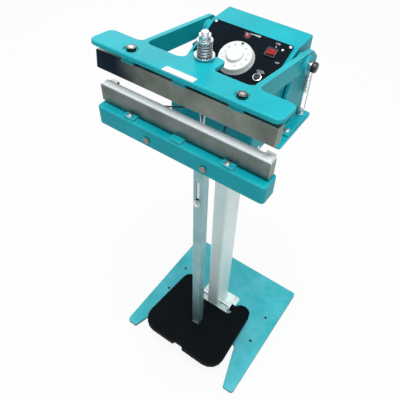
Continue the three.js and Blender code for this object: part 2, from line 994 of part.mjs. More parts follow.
// Upper jaw bar, pressing strip and the two frame bolts
const barBottom = -upperBar.face;
const stripDepthMiddle = barFace + upperBar.depth / 2;
place(
  "upper_jaw_bar",
  cut(
    pull(
      rectangle(-upperBar.length / 2, barFace, upperBar.length / 2, barFace + upperBar.depth),
      "z",
      barBottom,
      barTop,
      upperBar.edge,
    ),
    block(
      -upperBar.length,
      upperBar.length,
      stripDepthMiddle - strip.width / 2 - seat,
      stripDepthMiddle + strip.width / 2 + seat,
      barBottom - overrun,
      barBottom + strip.groove + seat,
    ),
    sides.map((side) =>
      pull(
        round(side * frameBolt.spread, boltAlong, frameBolt.radius + seat),
        "z",
        barTop - frameBolt.reach - seat,
        barTop + overrun,
      ),
    ),
  ),
  barMetal,
  armGroup,
);
place(
  "silicone_strip",
  block(
    strip.endGap - upperBar.length / 2,
    upperBar.length / 2 - strip.endGap,
    stripDepthMiddle - strip.width / 2,
    stripDepthMiddle + strip.width / 2,
    barBottom + strip.groove - strip.thickness,
    barBottom + strip.groove,
  ),
  redRubber,
  armGroup,
);
const spotFloor = arm.plateTop - arm.spotDepth + seat;
pair(
  "frame_bolt",
  join(
    pull(
      hexagon(frameBolt.spread, boltAlong, frameBolt.flats),
      "z",
      spotFloor,
      spotFloor + frameBolt.head,
    ),
    pull(
      round(frameBolt.spread, boltAlong, frameBolt.radius),
      "z",
      barTop - frameBolt.reach,
      spotFloor + seat,
    ),
  ),
  brightSteel,
  armGroup,
);

// Pressure stack on the stud: washer, spring, washer and nut
const washerBottom = openPoint(-arm.studReach, seatTop).z + stack.gap;
const springBottom = washerBottom + stack.thick + seat;
const springHeight = stack.turns * stack.pitch + 2 * stack.springWire;
const topWasher = springBottom + springHeight + seat;
const nutBottom = topWasher + stack.thick + seat;
const ring = (outer, bottom, height) =>
  cut(
    pull(round(0, rod.y, outer, largeSides / 2 + 4), "z", bottom, bottom + height),
    pull(
      round(0, rod.y, rod.studRadius + seat, largeSides / 2),
      "z",
      bottom - overrun,
      bottom + height + overrun,
    ),
  );
place("lower_washer", ring(stack.washer, washerBottom, stack.thick), brightSteel);
place("upper_washer", ring(topStack.washer, topWasher, stack.thick), brightSteel);
place(
  "pressure_nut",
  cut(
    pull(hexagon(0, rod.y, topStack.flats), "z", nutBottom, nutBottom + topStack.nut),
    pull(
      round(0, rod.y, rod.studRadius + seat, largeSides / 2),
      "z",
      nutBottom - overrun,
      nutBottom + topStack.nut + overrun,
    ),
  ),
  brightSteel,
);
const pressureCurve = helix(
  0,
  rod.y,
  stack.springRadius,
  springBottom + stack.springWire,
  stack.pitch,
  stack.turns,
  0,
);
console.log("pressure spring, least gap to itself", leastGap(
  pressureCurve,
  stack.springWire,
  curlSteps / 2,
).toFixed(2));
place("pressure_spring", wire(pressureCurve, stack.springWire, curlSides), brightSteel);

// Chassis: notched platform, two cheeks and the front flange, one casting
const beamBack = beam.rear + seat;
const wingPlan = outline([
  [chassis.notchHalf, chassis.neckFront, chassis.corner],
  [chassis.neckHalf, chassis.neckFront],
  [chassis.neckHalf, chassis.wingFront, chassis.corner],
  [chassis.wingHalf, chassis.wingFront, chassis.corner],
  [chassis.wingHalf, chassis.rear, chassis.corner],
  [-chassis.wingHalf, chassis.rear, chassis.corner],
  [-chassis.wingHalf, chassis.wingFront, chassis.corner],
  [-chassis.neckHalf, chassis.wingFront, chassis.corner],
  [-chassis.neckHalf, chassis.neckFront],
  [-chassis.notchHalf, chassis.neckFront, chassis.corner],
  [-chassis.notchHalf, chassis.notchRear, 2 * chassis.corner],
  [chassis.notchHalf, chassis.notchRear, 2 * chassis.corner],
]);
const platformBottom = chassis.top - chassis.plate;
const cheekSide = outline([
  [beamBack, chassis.cheekTop],
  [beamBack, chassis.cheekBottom],
  [chassis.neckFront, platformBottom],
  [chassis.wingFront, platformBottom],
  [chassis.wingFront, chassis.top],
  [chassis.cheekToe, chassis.top, chassis.corner],
]);
const beamBoltHole = (side, from, to) =>
  pull(round(side * beam.boltSpread, beam.boltZ, beamBolt.radius + seat), "y", from, to);
const postFootHoles = (z0, z1) =>
  sides.flatMap((side) => [
    pull(round(side * postBolt.x, postBolt.y, postBolt.radius + seat), "z", z0, z1),
    pull(
      round(side * arm.centre, openPoint(arm.hookReach, hookUp).y, anchor.radius + seat),
      "z",
      z0,
      z1,
    ),
  ]);
place(
  "chassis",
  cut(
    join(
      pull(wingPlan, "z", platformBottom, chassis.top),
      sides.map((side) =>
        pull(cheekSide, "x", side * (chassis.neckHalf - chassis.cheek), side * chassis.neckHalf),
      ),
      block(
        -chassis.neckHalf,
        chassis.neckHalf,
        beamBack,
        beamBack + chassis.flange,
        beam.bottom,
        chassis.cheekTop,
      ),
    ),
    sides.map((side) => beamBoltHole(side, beamBack - overrun, beamBack + chassis.flange + overrun)),
    postFootHoles(platformBottom - overrun, chassis.top + overrun),
  ),
  tealPaint,
);

// Lower beam: a channel with bolt bosses and three pads for the fixed jaw bar
const beamMiddle = (beam.front + beam.rear) / 2;
const beamDepth = beam.rear - beam.front;
const channel = cut(
  pull(
    centred(0, beamMiddle, 2 * (beam.half - beam.wall), beamDepth - 2 * beam.wall, beam.corner - beam.wall),
    "z",
    beam.bottom - overrun,
    beam.top - beam.wall,
  ),
  sides.map((side) => pull(
    round(side * beam.boltSpread, beam.boltZ, beam.boss),
    "y",
    beam.front,
    beam.rear,
  )),
  [-1, 0, 1].map((step) =>
    block(
      step * pad.spread - beam.wall / 2,
      step * pad.spread + beam.wall / 2,
      beam.front,
      beam.rear,
      beam.bottom,
      beam.top,
    ),
  ),
);
place(
  "lower_beam",
  cut(
    join(
      pull(
        centred(0, beamMiddle, 2 * beam.half, beamDepth, beam.corner),
        "z",
        beam.bottom,
        beam.top,
        beam.edge,
      ),
      [-1, 0, 1].map((step) =>
        pull(
          centred(step * pad.spread, beamMiddle, pad.width, beamDepth - 2 * beam.edge, beam.edge),
          "z",
          beam.top - seat,
          lowerBar.bottom - seat,
        ),
      ),
    ),
    channel,
    sides.map((side) => beamBoltHole(side, beam.front - overrun, beam.rear + overrun)),
  ),
  tealPaint,
);
const boltHeadFace = beam.front - seat;
pair(
  "beam_bolt",
  join(
    pull(
      round(beam.boltSpread, beam.boltZ, beamBolt.headRadius),
      "y",
      boltHeadFace - beamBolt.head,
      boltHeadFace,
      beamBolt.head / 4,
    ),
    pull(
      round(beam.boltSpread, beam.boltZ, beamBolt.radius),
      "y",
      boltHeadFace - seat,
      beamBack + chassis.flange,
    ),
  ),
  rodSteel,
);

// Fixed jaw bar, its heating ribbon, the cloth over it and the clamps that hold the ribbon's ends
const lowerTop = lowerBar.bottom + lowerBar.height;
const lowerRear = lowerBar.front + lowerBar.depth;
const lowerMiddle = lowerBar.front + lowerBar.depth / 2;
place(
  "lower_jaw_bar",
  pull(
    rectangle(-lowerBar.length / 2, lowerBar.front, lowerBar.length / 2, lowerRear),
    "z",
    lowerBar.bottom,
    lowerTop,
    lowerBar.edge,
  ),
  barMetal,
);
const ribbonBottom = lowerTop + seat;
const tabRear = lowerRear + seat + ribbon.thickness;
place(
  "heating_ribbon",
  join(
    block(
      -ribbon.half,
      ribbon.half,
      lowerMiddle - ribbon.width / 2,
      lowerMiddle + ribbon.width / 2,
      ribbonBottom,
      ribbonBottom + ribbon.thickness,
    ),
    sides.flatMap((side) => [
      block(
        Math.min(side * ribbon.half, side * (ribbon.half - ribbon.tab)),
        Math.max(side * ribbon.half, side * (ribbon.half - ribbon.tab)),
        lowerMiddle - ribbon.width / 2,
        tabRear,
        ribbonBottom,
        ribbonBottom + ribbon.thickness,
      ),
      block(
        Math.min(side * ribbon.half, side * (ribbon.half - ribbon.tab)),
        Math.max(side * ribbon.half, side * (ribbon.half - ribbon.tab)),
        tabRear - ribbon.thickness,
        tabRear,
        ribbonBottom - ribbon.drop,
        ribbonBottom + ribbon.thickness,
      ),
    ]),
  ),
  nichrome,
);
const coverBottom = ribbonBottom + ribbon.thickness + seat;
place(
  "ptfe_cover",
  block(
    -cover.half,
    cover.half,
    lowerMiddle - cover.width / 2,
    lowerMiddle + cover.width / 2,
    coverBottom,
    coverBottom + cover.thickness,
  ),
  coatedCloth,
);
const clampX = ribbon.half - ribbon.tab / 2;
const clampTop = ribbonBottom - clamp.drop;
const clampFront = tabRear + seat;
const clampMiddleZ = clampTop - clamp.height / 2;
pair(
  "element_clamp",
  cut(
    pull(
      centred(clampX, clampMiddleZ, clamp.width, clamp.height),
      "y",
      clampFront,
      clampFront + clamp.depth,
      clamp.edge,
    ).add(
      pull(
        round(clampX, clampMiddleZ - clamp.screwRadius, clamp.screwRadius),
        "y",
        clampFront + clamp.depth - seat,
        clampFront + clamp.depth + clamp.screw,
      ),
    ),
    pull(
      round(clampFront + clamp.depth / 2, clampTop - clamp.screwRadius - clamp.drop, lead.radius + seat),
      "x",
      clampX - clamp.width,
      clampX,
    ),
  ),
  brass,
);

// Posts with their feet, bolts, spring anchors and pivot bolts
const postBottom = chassis.top + seat;
const footTopZ = postBottom + post.foot;
const postOuter = post.inner + post.plate;
const postSide = outline([
  [post.front, postBottom],
  [post.rear, postBottom],
  [post.rear, post.shoulderRear, post.corner],
  [arm.pivotY + post.boss, arm.pivotZ],
  [arm.pivotY - post.boss, arm.pivotZ],
  [post.front, post.shoulderFront, post.corner],
]);
pair(
  "pivot_bracket",
  cut(
    join(
      pull(postSide, "x", post.inner, postOuter),
      pull(round(arm.pivotY, arm.pivotZ, post.boss, largeSides), "x", post.inner, postOuter),
      pull(
        rectangle(post.inner, post.front, post.footOuter, post.rear, post.foot / 2),
        "z",
        postBottom,
        footTopZ,
      ),
    ),
    postFootHoles(postBottom - overrun, footTopZ + overrun),
    pull(
      round(arm.pivotY, arm.pivotZ, pivotBolt.radius + seat),
      "x",
      post.inner - overrun,
      postOuter + overrun,
    ),
  ),
  tealPaint,
);
const postHead = footTopZ + seat;
const domeShares = [[1, 0], [0.93, 0.45], [0.66, 0.85], [0, 1]];
pair(
  "bracket_bolt",
  turned(
    [
      [0, -postBolt.reach],
      [postBolt.radius, -postBolt.reach],
      [postBolt.radius, 0],
      ...domeShares.map(([outward, upward]) => [postBolt.headRadius * outward, postBolt.head * upward]),
    ],
    "z",
    [postBolt.x, postBolt.y, postHead],
  ),
  brightSteel,
);
const hook = openPoint(arm.hookReach, hookUp);
pair(
  "spring_anchor",
  cut(
    join(
      pull(hexagon(arm.centre, hook.y, anchor.flats), "z", postHead, postHead + anchor.hex),
      pull(round(arm.centre, hook.y, anchor.radius), "z", postHead - anchor.reach, anchor.eyeZ),
      pull(
        round(hook.y, anchor.eyeZ + anchor.hole, anchor.eye),
        "x",
        arm.centre - anchor.thick / 2,
        arm.centre + anchor.thick / 2,
      ),
    ),
    pull(round(hook.y, anchor.eyeZ + anchor.hole, anchor.hole), "x", post.inner, post.footOuter),
  ),
  brightSteel,
);
const collarFrom = arm.bossOuter + seat;
pair(
  "pivot_bolt",
  turned(
    [
      [0, pivotBolt.start],
      [pivotBolt.radius, pivotBolt.start],
      [pivotBolt.radius, collarFrom],
      [pivotBolt.collar, collarFrom],
      [pivotBolt.collar, pivotBolt.collarTo],
      [pivotBolt.cap, pivotBolt.collarTo],
      [pivotBolt.cap, pivotBolt.capTo - pivotBolt.dome],
      [pivotBolt.cap - pivotBolt.dome / 2, pivotBolt.capTo - pivotBolt.dome / 4],
      [pivotBolt.cap - 2 * pivotBolt.dome, pivotBolt.capTo],
      [0, pivotBolt.capTo],
    ],
    "x",
    [0, arm.pivotY, arm.pivotZ],
    largeSides / 2,
  ),
  brightSteel,
);

// Return springs: coils between two straight legs whose ends turn in through the eye and the arm's tail
const coilTop = returnSpring.bottom + returnSpring.turns * returnSpring.pitch;
const coilPoints = helix(
  arm.centre,
  hook.y,
  returnSpring.coilRadius,
  returnSpring.bottom,
  returnSpring.pitch,
  returnSpring.turns,
  0,
);
function hookEnd(z, inward) {
  const leg = returnSpring.legX;
  const bend = returnSpring.bend;
  return [
    new THREE.Vector3(leg, hook.y, z + inward * 2 * bend),
    new THREE.Vector3(leg, hook.y, z + inward * bend),
    new THREE.Vector3(leg - bend * (1 - Math.SQRT1_2), hook.y, z + inward * bend * (1 - Math.SQRT1_2)),
    new THREE.Vector3(leg - bend, hook.y, z),
    new THREE.Vector3(returnSpring.hookInnerX + 2 * returnSpring.wire, hook.y, z),
    new THREE.Vector3(returnSpring.hookInnerX, hook.y, z),
  ];
}
const lowerHook = hookEnd(anchor.eyeZ + anchor.hole, 1).reverse();
const upperHook = hookEnd(hook.z, -1);
const springCurve = [...lowerHook, ...coilPoints.slice(1, -1), ...upperHook];
console.log(
  "return spring, least gap to itself",
  leastGap(coilPoints, returnSpring.wire, curlSteps / 2).toFixed(2),
);
pair("return_spring", wire(springCurve, returnSpring.wire, curlSides), brightSteel);

// Control box cover: folded sheet with a sloping front, open below
const slope = (box.top - box.lip) / (box.crest - box.front);
const slopeAngle = Math.atan(slope);
function boxSide(inset) {
  const sunk = inset / Math.cos(slopeAngle);
  const lipZ = box.lip + slope * inset - sunk;
  const crestY = box.crest + (sunk - inset) / slope;
  const corner = box.corner - inset;
  const bottom = inset ? postBottom - overrun : postBottom;
  return outline([
    [box.front + inset, bottom],
    [box.rear - inset, bottom],
    [box.rear - inset, box.top - inset, corner],
    [crestY, box.top - inset, 2 * corner],
    [box.front + inset, lipZ, corner],
  ]);
}
const panelGroup = new THREE.Group();
panelGroup.position.set(0, box.crest, box.top);
panelGroup.rotation.x = slopeAngle;
sealer.add(panelGroup);
const along = (y) => (y - box.crest) / Math.cos(slopeAngle);
panelGroup.updateMatrixWorld(true);
const panelTurn = panelGroup.matrixWorld.toArray();
const onSlope = (part) => part.transform(panelTurn);
const through = (x, y, radius) => pull(round(x, along(y), radius + seat), "z", -cutReach, overrun);
const panelCuts = [
  through(dial.x, dial.y, board.bush),
  through(lamp.x, lamp.y, lamp.radius),
  through(fuse.x, fuse.y, fuse.radius),
  pull(
    centred(
      bezel.x,
      along(bezel.y),
      2 * (bezel.bodyHalf + seat),
      2 * (bezel.bodyLength + seat),
    ),
    "z",
    -cutReach,
    overrun,
  ),
];
const innerHalf = box.half - box.sheet;
place(
  "box_cover",
  cut(
    pull(boxSide(0), "x", -box.half, box.half, box.edge),
    pull(boxSide(box.sheet), "x", -innerHalf, innerHalf),
    panelCuts.map(onSlope),
    sides.map((side) =>
      pull(
        round(side * lead.exitX, lead.exitZ, lead.radius + 2 * seat),
        "y",
        box.front - overrun,
        box.front + box.sheet + overrun,
      ),
    ),
    pull(round(gland.x, gland.z, gland.thread + seat), "y", box.rear - overrun, box.rear + overrun),
  ),
  tealPaint,
);

// Sloping panel and what sits in it, drawn flat with its normal upwards
const panelTop = seat + panel.thickness;
place(
  "control_panel",
  cut(
    pull(
      rectangle(-panel.half, -panel.rearGap - panel.length, panel.half, -panel.rearGap, panel.corner),
      "z",
      seat,
      panelTop,
    ),
    panelCuts,
  ),
  blackPlastic,
  panelGroup,
);
const faceZ = panelTop + seat;
place(
  "dial_knob",
  join(
    turned(
      [
        [0, faceZ],
        [dial.radius, faceZ],
        [dial.radius, faceZ + dial.skirt - dial.edge],
        [dial.radius - dial.edge, faceZ + dial.skirt],
        [dial.hub, faceZ + dial.skirt],
        [dial.hub - dial.edge / 2, faceZ + dial.skirt + dial.hubHeight],
        [0, faceZ + dial.skirt + dial.hubHeight],
      ],
      "z",
      [dial.x, along(dial.y), 0],
      largeSides,
    ),
    pull(round(dial.x, along(dial.y), dial.shaft), "z", faceZ - dial.shaftReach, faceZ + seat),
  ),
  whitePlastic,
  panelGroup,
);
place(
  "pilot_lamp",
  turned(
    [
      [0, -lamp.reach],
      [lamp.radius, -lamp.reach],
      [lamp.radius, faceZ],
      [lamp.flange, faceZ],
      [lamp.flange, faceZ + lamp.flangeHeight],
      [lamp.radius, faceZ + lamp.flangeHeight],
      [lamp.radius * Math.SQRT1_2, faceZ + lamp.flangeHeight + lamp.dome * Math.SQRT1_2],
      [0, faceZ + lamp.flangeHeight + lamp.dome],
    ],
    "z",
    [lamp.x, along(lamp.y), 0],
  ),
  pinkLens,
  panelGroup,
);
place(
  "fuse_holder",
  turned(
    [
      [0, -fuse.reach],
      [fuse.radius, -fuse.reach],
      [fuse.radius, faceZ],
      [fuse.flange, faceZ],
      [fuse.flange, faceZ + fuse.height],
      [fuse.cap, faceZ + fuse.height],
      [fuse.cap, faceZ + fuse.height + fuse.capHeight],
      [0, faceZ + fuse.height + fuse.capHeight],
    ],
    "z",
    [fuse.x, along(fuse.y), 0],
    largeSides / 2,
  ),
  blackPlastic,
  panelGroup,
);
const bezelY = along(bezel.y);
const pinZ = faceZ + bezel.height - rocker.dip;
place(
  "rocker_bezel",
  cut(
    join(
      pull(
        centred(bezel.x, bezelY, 2 * bezel.half, 2 * bezel.halfLength, bezel.corner),
        "z",
        faceZ,
        faceZ + bezel.height,
      ),
      pull(
        centred(bezel.x, bezelY, 2 * bezel.bodyHalf, 2 * bezel.bodyLength),
        "z",
        faceZ - bezel.reach,
        faceZ + seat,
      ),
    ),
    pull(
      centred(bezel.x, bezelY, 2 * bezel.pocketHalf, 2 * bezel.pocketLength),
      "z",
      faceZ + bezel.height - bezel.pocket,
      faceZ + overrun,
    ),
    pull(
      round(bezelY, pinZ, bezel.pin + seat),
      "x",
      bezel.x - bezel.bodyHalf - overrun,
      bezel.x + bezel.half + overrun,
    ),
  ),
  blackPlastic,
  panelGroup,
);
const rockerGroup = new THREE.Group();
rockerGroup.position.set(bezel.x, bezelY, pinZ);
rockerGroup.rotation.x = -degrees(rocker.tilt);
panelGroup.add(rockerGroup);
place(
  "rocker",
  join(
    pull(
      outline([
        [-rocker.length, 0],
        [-rocker.keelLength, -rocker.keel],
        [rocker.keelLength, -rocker.keel],
        [rocker.length, 0],
        [rocker.length, rocker.crest],
        [0, rocker.dip],
        [-rocker.length, rocker.crest],
      ]),
      "x",
      -rocker.half,
      rocker.half,
    ),
    pull(round(0, 0, bezel.pin), "x", seat - bezel.bodyHalf, bezel.bodyHalf - seat),
  ),
  redPlastic,
  rockerGroup,
);

// Timer board under the panel, hung on four posts, with the dial's potentiometer
const boardTop = -board.depth;
const boardY = along(dial.y);
place(
  "timer_board",
  cut(
    join(
      pull(
        centred(0, boardY, 2 * board.half, 2 * board.length),
        "z",
        boardTop - board.thickness,
        boardTop,
      ),
      sides.flatMap((sideX) =>
        sides.map((sideY) =>
          pull(
            round(
              sideX * (board.half - board.postGap),
              boardY + sideY * (board.length - board.postGap),
              board.post,
            ),
            "z",
            boardTop - seat,
            -box.sheet - seat,
          ),
        ),
      ),
      pull(round(dial.x, boardY, board.pot), "z", boardTop - seat, boardTop + board.potHeight),
      pull(round(dial.x, boardY, board.bush), "z", boardTop, panelTop - seat),
    ),
    pull(
      round(dial.x, boardY, dial.shaft + seat),
      "z",
      faceZ - dial.shaftReach - seat,
      faceZ + overrun,
    ),
  ),
  boardGreen,
  panelGroup,
);

// Transformer on the platform: laminated core with two windows and a coil round its middle limb
const coreFront = transformer.centreY - transformer.stack / 2;
const coreRear = transformer.centreY + transformer.stack / 2;
const coreTop = postBottom + transformer.height;
const windowBottom = postBottom + transformer.limb;
const windowTop = coreTop - transformer.limb;
place(
  "transformer_core",
  cut(
    block(-transformer.width / 2, transformer.width / 2, coreFront, coreRear, postBottom, coreTop),
    sides.map((side) =>
      pull(
        rectangle(
          side > 0 ? transformer.limb : -transformer.limb - transformer.window,
          windowBottom,
          side > 0 ? transformer.limb + transformer.window : -transformer.limb,
          windowTop,
        ),
        "y",
        coreFront - overrun,
        coreRear + overrun,
      ),
    ),
  ),
  laminations,
);
const coilHalf = transformer.limb + transformer.window - transformer.coilGap;
place(
  "transformer_coil",
  cut(
    pull(
      rectangle(
        -coilHalf,
        coreFront - transformer.coilBulge,
        coilHalf,
        coreRear + transformer.coilBulge,
        transformer.coilBulge / 2,
      ),
      "z",
      windowBottom + seat,
      windowTop - seat,
    ),
    block(
      -transformer.limb - seat,
      transformer.limb + seat,
      coreFront - seat,
      coreRear + seat,
      windowBottom - overrun,
      windowTop + overrun,
    ),
  ),
  copper,
);

// Cord gland through the rear wall
const glandInner = box.rear - box.sheet - seat;
const glandOuter = box.rear + seat;
place(
  "cord_gland",
  turned(
    [
      [gland.bore, glandInner - gland.nutHeight],
      [gland.nut, glandInner - gland.nutHeight],
      [gland.nut, glandInner],
      [gland.thread, glandInner],
      [gland.thread, glandOuter],
      [gland.nut, glandOuter],
      [gland.nut, glandOuter + gland.hexHeight],
      [gland.cap, glandOuter + gland.hexHeight],
      [gland.mouth, glandOuter + gland.hexHeight + gland.capHeight],
      [gland.bore, glandOuter + gland.hexHeight + gland.capHeight],
      [gland.bore, glandInner - gland.nutHeight],
    ],
    "y",
    [gland.x, 0, gland.z],
  ),
  blackPlastic,
);

// Leads from the box to the ribbon's clamps, held along their whole length
const clampHoleY = clampFront + clamp.depth / 2;
const clampHoleZ = clampTop - clamp.screwRadius - clamp.drop;
const leadEnd = clampX - seat;
const leadPath = new THREE.CatmullRomCurve3(
  [
    [lead.exitX, box.front + box.sheet + lead.inside, lead.exitZ],
    [lead.exitX, box.front + box.sheet, lead.exitZ],
    [lead.exitX, box.front - overrun, lead.exitZ],
    [lead.exitX + overrun, (box.front + lead.behind) / 2, (lead.exitZ + lead.runZ) / 2],
    [lead.exitX + 4 * overrun, lead.behind + overrun, lead.runZ],
    [(lead.exitX + clampX) / 2 + overrun, clampHoleY, lead.runZ],
    [clampX - 3 * overrun, clampHoleY, (lead.runZ + clampHoleZ) / 2],
    [clampX - clamp.width / 2 - 2 * seat, clampHoleY, clampHoleZ],
    [leadEnd, clampHoleY, clampHoleZ],
  ].map((point) => new THREE.Vector3(...point)),
  false,
  "centripetal",
);
pair(
  "element_lead",
  new THREE.ExtrudeGeometry(new THREE.Shape(round(0, 0, lead.radius, lead.sides)), {
    steps: lead.steps,
    extrudePath: leadPath,
    bevelEnabled: false,
  }),
  blackPlastic,
);

// Microswitch on the left post, its plunger under the arm's web
const touch = openPoint(-microswitch.reach, webBottom(-microswitch.reach));
const pinTop = touch.z - 2 * seat;
const switchTop = pinTop - microswitch.drop;
const switchX = -microswitch.inner - seat - microswitch.thick / 2;
place(
  "microswitch",
  cut(
    pull(
      centred(switchX, touch.y, microswitch.thick, microswitch.length, seat),
      "z",
      switchTop - microswitch.height,
      switchTop,
    ),
    pull(
      round(-arm.centre, touch.y, microswitch.pin + seat),
      "z",
      switchTop - microswitch.hold - microswitch.travel,
      switchTop + overrun,
    ),
  ),
  blackPlastic,
);
place(
  "switch_plunger",
  turned(
    [
      [0, switchTop - microswitch.hold],
      [microswitch.pin, switchTop - microswitch.hold],
      [microswitch.pin, pinTop - microswitch.pin],
      [microswitch.pin * Math.SQRT1_2, pinTop - microswitch.pin * (1 - Math.SQRT1_2)],
      [0, pinTop],
    ],
    "z",
    [-arm.centre, touch.y, 0],
  ),
  redPlastic,
);

export default sealer;
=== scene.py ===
# %% [markdown]
# # A foot pedal sealer, dressed in Blender
#
# The real object is a bar sealer on a stand: a teal cast base and head, a steel column, a black pedal
# and a long pull rod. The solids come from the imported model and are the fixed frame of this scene. What
# follows gives every one of them a finish, and adds the small pieces that a plain solid can't show.

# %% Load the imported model
import json
import math

import bpy
import numpy as np
from mathutils import Matrix


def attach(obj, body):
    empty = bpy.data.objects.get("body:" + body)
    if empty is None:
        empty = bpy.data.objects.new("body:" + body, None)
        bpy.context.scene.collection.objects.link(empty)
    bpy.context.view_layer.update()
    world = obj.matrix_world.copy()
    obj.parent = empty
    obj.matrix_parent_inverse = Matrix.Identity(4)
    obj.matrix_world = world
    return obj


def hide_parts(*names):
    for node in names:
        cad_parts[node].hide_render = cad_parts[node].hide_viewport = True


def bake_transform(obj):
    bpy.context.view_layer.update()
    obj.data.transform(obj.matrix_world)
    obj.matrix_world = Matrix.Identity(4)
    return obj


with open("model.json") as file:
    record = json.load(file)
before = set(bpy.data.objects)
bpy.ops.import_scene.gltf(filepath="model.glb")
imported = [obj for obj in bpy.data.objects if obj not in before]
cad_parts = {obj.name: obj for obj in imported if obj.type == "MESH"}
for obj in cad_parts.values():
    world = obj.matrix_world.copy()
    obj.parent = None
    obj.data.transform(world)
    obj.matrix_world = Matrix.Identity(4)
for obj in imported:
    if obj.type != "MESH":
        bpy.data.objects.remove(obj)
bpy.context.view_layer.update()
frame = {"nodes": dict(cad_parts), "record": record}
nodes = frame["nodes"]
mm = 0.001

# %% [markdown]
# ## Camera
#
# The photograph was taken from high above, at the front right. A camera is placed by three angles and a
# point: azimuth round the object, height above the horizon, and a small roll. They were solved from the
# straight edges of the base, the column and the jaw bars, so edges of the model fall on those edges.


# %% Objects and where they stand
def linked(name, data):
    """A new object of some data, in the scene."""
    made = bpy.data.objects.new(name, data)
    bpy.context.scene.collection.objects.link(made)
    return made


def stood(axes, place):
    """The matrix of something at a place, with its own X, Y and Z along three axes."""
    return Matrix([[*(axis[i] for axis in axes), place[i]] for i in range(3)] + [[0, 0, 0, 1]])


# %% Place the camera at the photograph's angle
picture_side = 400
focal_pixels = 453.409
sensor = 36
camera_point = np.array([360.89, -631.139, 1395.872]) * mm
azimuth, height, roll = (math.radians(angle) for angle in (34.03, 49.182, 1.429))

back = np.array([
    math.sin(azimuth) * math.cos(height),
    -math.cos(azimuth) * math.cos(height),
    math.sin(height),
])
level = np.cross(-back, [0, 0, 1])
level /= np.linalg.norm(level)
upward = np.cross(level, -back)
across = level * math.cos(roll) + upward * math.sin(roll)
above = upward * math.cos(roll) - level * math.sin(roll)

lens = bpy.data.cameras.new("camera")
lens.sensor_width = sensor
lens.lens = focal_pixels / picture_side * sensor
lens.clip_start, lens.clip_end = 0.05, 50
camera = linked("camera", lens)
camera.matrix_world = stood((across, above, back), camera_point)
bpy.context.scene.camera = camera
print("lens", round(lens.lens, 2), "mm")

# %% [markdown]
# ## Studio
#
# A product picture like this one is lit by large soft boxes over a white sweep. Here one wide lamp hangs
# above, a second fills the shadows from the front, and a pale floor sends light back up. The floor and
# the world look nearly white to the camera and to mirrors only, so they add no light to the object.


# %% Node helpers
def feed(tree, socket, value):
    """Gives a socket its value, or links another socket to it."""
    if isinstance(value, bpy.types.NodeSocket):
        tree.links.new(value, socket)
    elif value is not None:
        socket.default_value = value


def fill(tree, node, **values):
    """Feeds the sockets of a node by name."""
    for key, value in values.items():
        feed(tree, node.inputs[key.replace("_", " ")], value)


def add(tree, kind, **values):
    """Puts a node in a tree and feeds its sockets, or sets its own settings where no socket has the name."""
    node = tree.nodes.new("ShaderNode" + kind)
    for key, value in values.items():
        is_socket = isinstance(value, bpy.types.NodeSocket)
        if not is_socket and hasattr(node, key) and key not in node.inputs:
            setattr(node, key, value)
    for key, value in values.items():
        label = key.replace("_", " ").lower()
        found = [socket for socket in node.inputs if socket.name.lower() == label and socket.enabled]
        if found:
            feed(tree, found[0], value)
    return node


def math_node(tree, operation, first, second=None, clamp=False):
    """One sum of two values, as a socket."""
    node = tree.nodes.new("ShaderNodeMath")
    node.operation = operation
    node.use_clamp = clamp
    for socket, value in zip(node.inputs, (first, second)):
        feed(tree, socket, value)
    return node.outputs[0]


def ramp(tree, value, first, last, **more):
    """A value that goes from 0 to 1 as another goes from the first to the last, as a socket."""
    return add(tree, "MapRange", Value=value, From_Min=first, From_Max=last, **more).outputs[0]


def split(tree, vector):
    """The X, Y and Z of a vector, as sockets."""
    return add(tree, "SeparateXYZ", Vector=vector).outputs


def empty_tree(holder):
    """Switches nodes on for a material or world and clears them."""
    holder.use_nodes = True
    holder.node_tree.nodes.clear()
    return holder.node_tree


def seen_directly(tree):
    """1 for the camera, mirrors and glass, 0 for light that falls on the object."""
    path = add(tree, "LightPath")
    seen = math_node(tree, "MAXIMUM", path.outputs["Is Camera Ray"], path.outputs["Is Glossy Ray"])
    return math_node(tree, "MAXIMUM", seen, path.outputs["Is Transmission Ray"])


def end_with_two(tree, share, lighting, shown, output):
    """Ends a tree in a mix: one shader lights the object, and the other is what the camera sees."""
    both = add(tree, "MixShader")
    for socket, value in zip(both.inputs, (share, lighting.outputs[0], shown.outputs[0])):
        feed(tree, socket, value)
    feed(tree, add(tree, output).inputs[0], both.outputs[0])


# %% World and floor
world = bpy.data.worlds.new("studio")
bpy.context.scene.world = world
tree = empty_tree(world)
white_sky = add(tree, "Background", Color=(1, 1, 1, 1), Strength=1.0)
dim_sky = add(tree, "Background", Color=(0.93, 0.97, 1.0, 1), Strength=0.3)
end_with_two(tree, seen_directly(tree), dim_sky, white_sky, "OutputWorld")

floor_paper = bpy.data.materials.new("floor_paper")
tree = empty_tree(floor_paper)
paper = add(tree, "BsdfDiffuse", Color=(0.7, 0.71, 0.72, 1))
glow = add(tree, "Emission", Color=(1, 1, 1, 1), Strength=1.0)
glow_share = 0.9
end_with_two(tree, math_node(tree, "MULTIPLY", seen_directly(tree), glow_share), paper, glow, "OutputMaterial")

floor_half = 12
corners = [(floor_half * x, floor_half * y, 0) for x, y in ((-1, -1), (1, -1), (1, 1), (-1, 1))]
floor_mesh = bpy.data.meshes.new("floor")
floor_mesh.from_pydata(corners, [], [(0, 1, 2, 3)])
floor_mesh.materials.append(floor_paper)
floor = linked("floor", floor_mesh)


# %% Soft lamps
def soft_lamp(name, place, target, size, power, colour):
    """A square area lamp at place that looks at target."""
    data = bpy.data.lights.new(name, "AREA")
    data.shape = "SQUARE"
    data.size = size
    data.energy = power
    data.color = colour
    away = np.array(place, float) - np.array(target, float)
    away /= np.linalg.norm(away)
    side = np.cross([0, 1, 0] if abs(away[2]) > 0.95 else [0, 0, 1], away)
    side /= np.linalg.norm(side)
    linked(name, data).matrix_world = stood((side, np.cross(away, side), away), place)


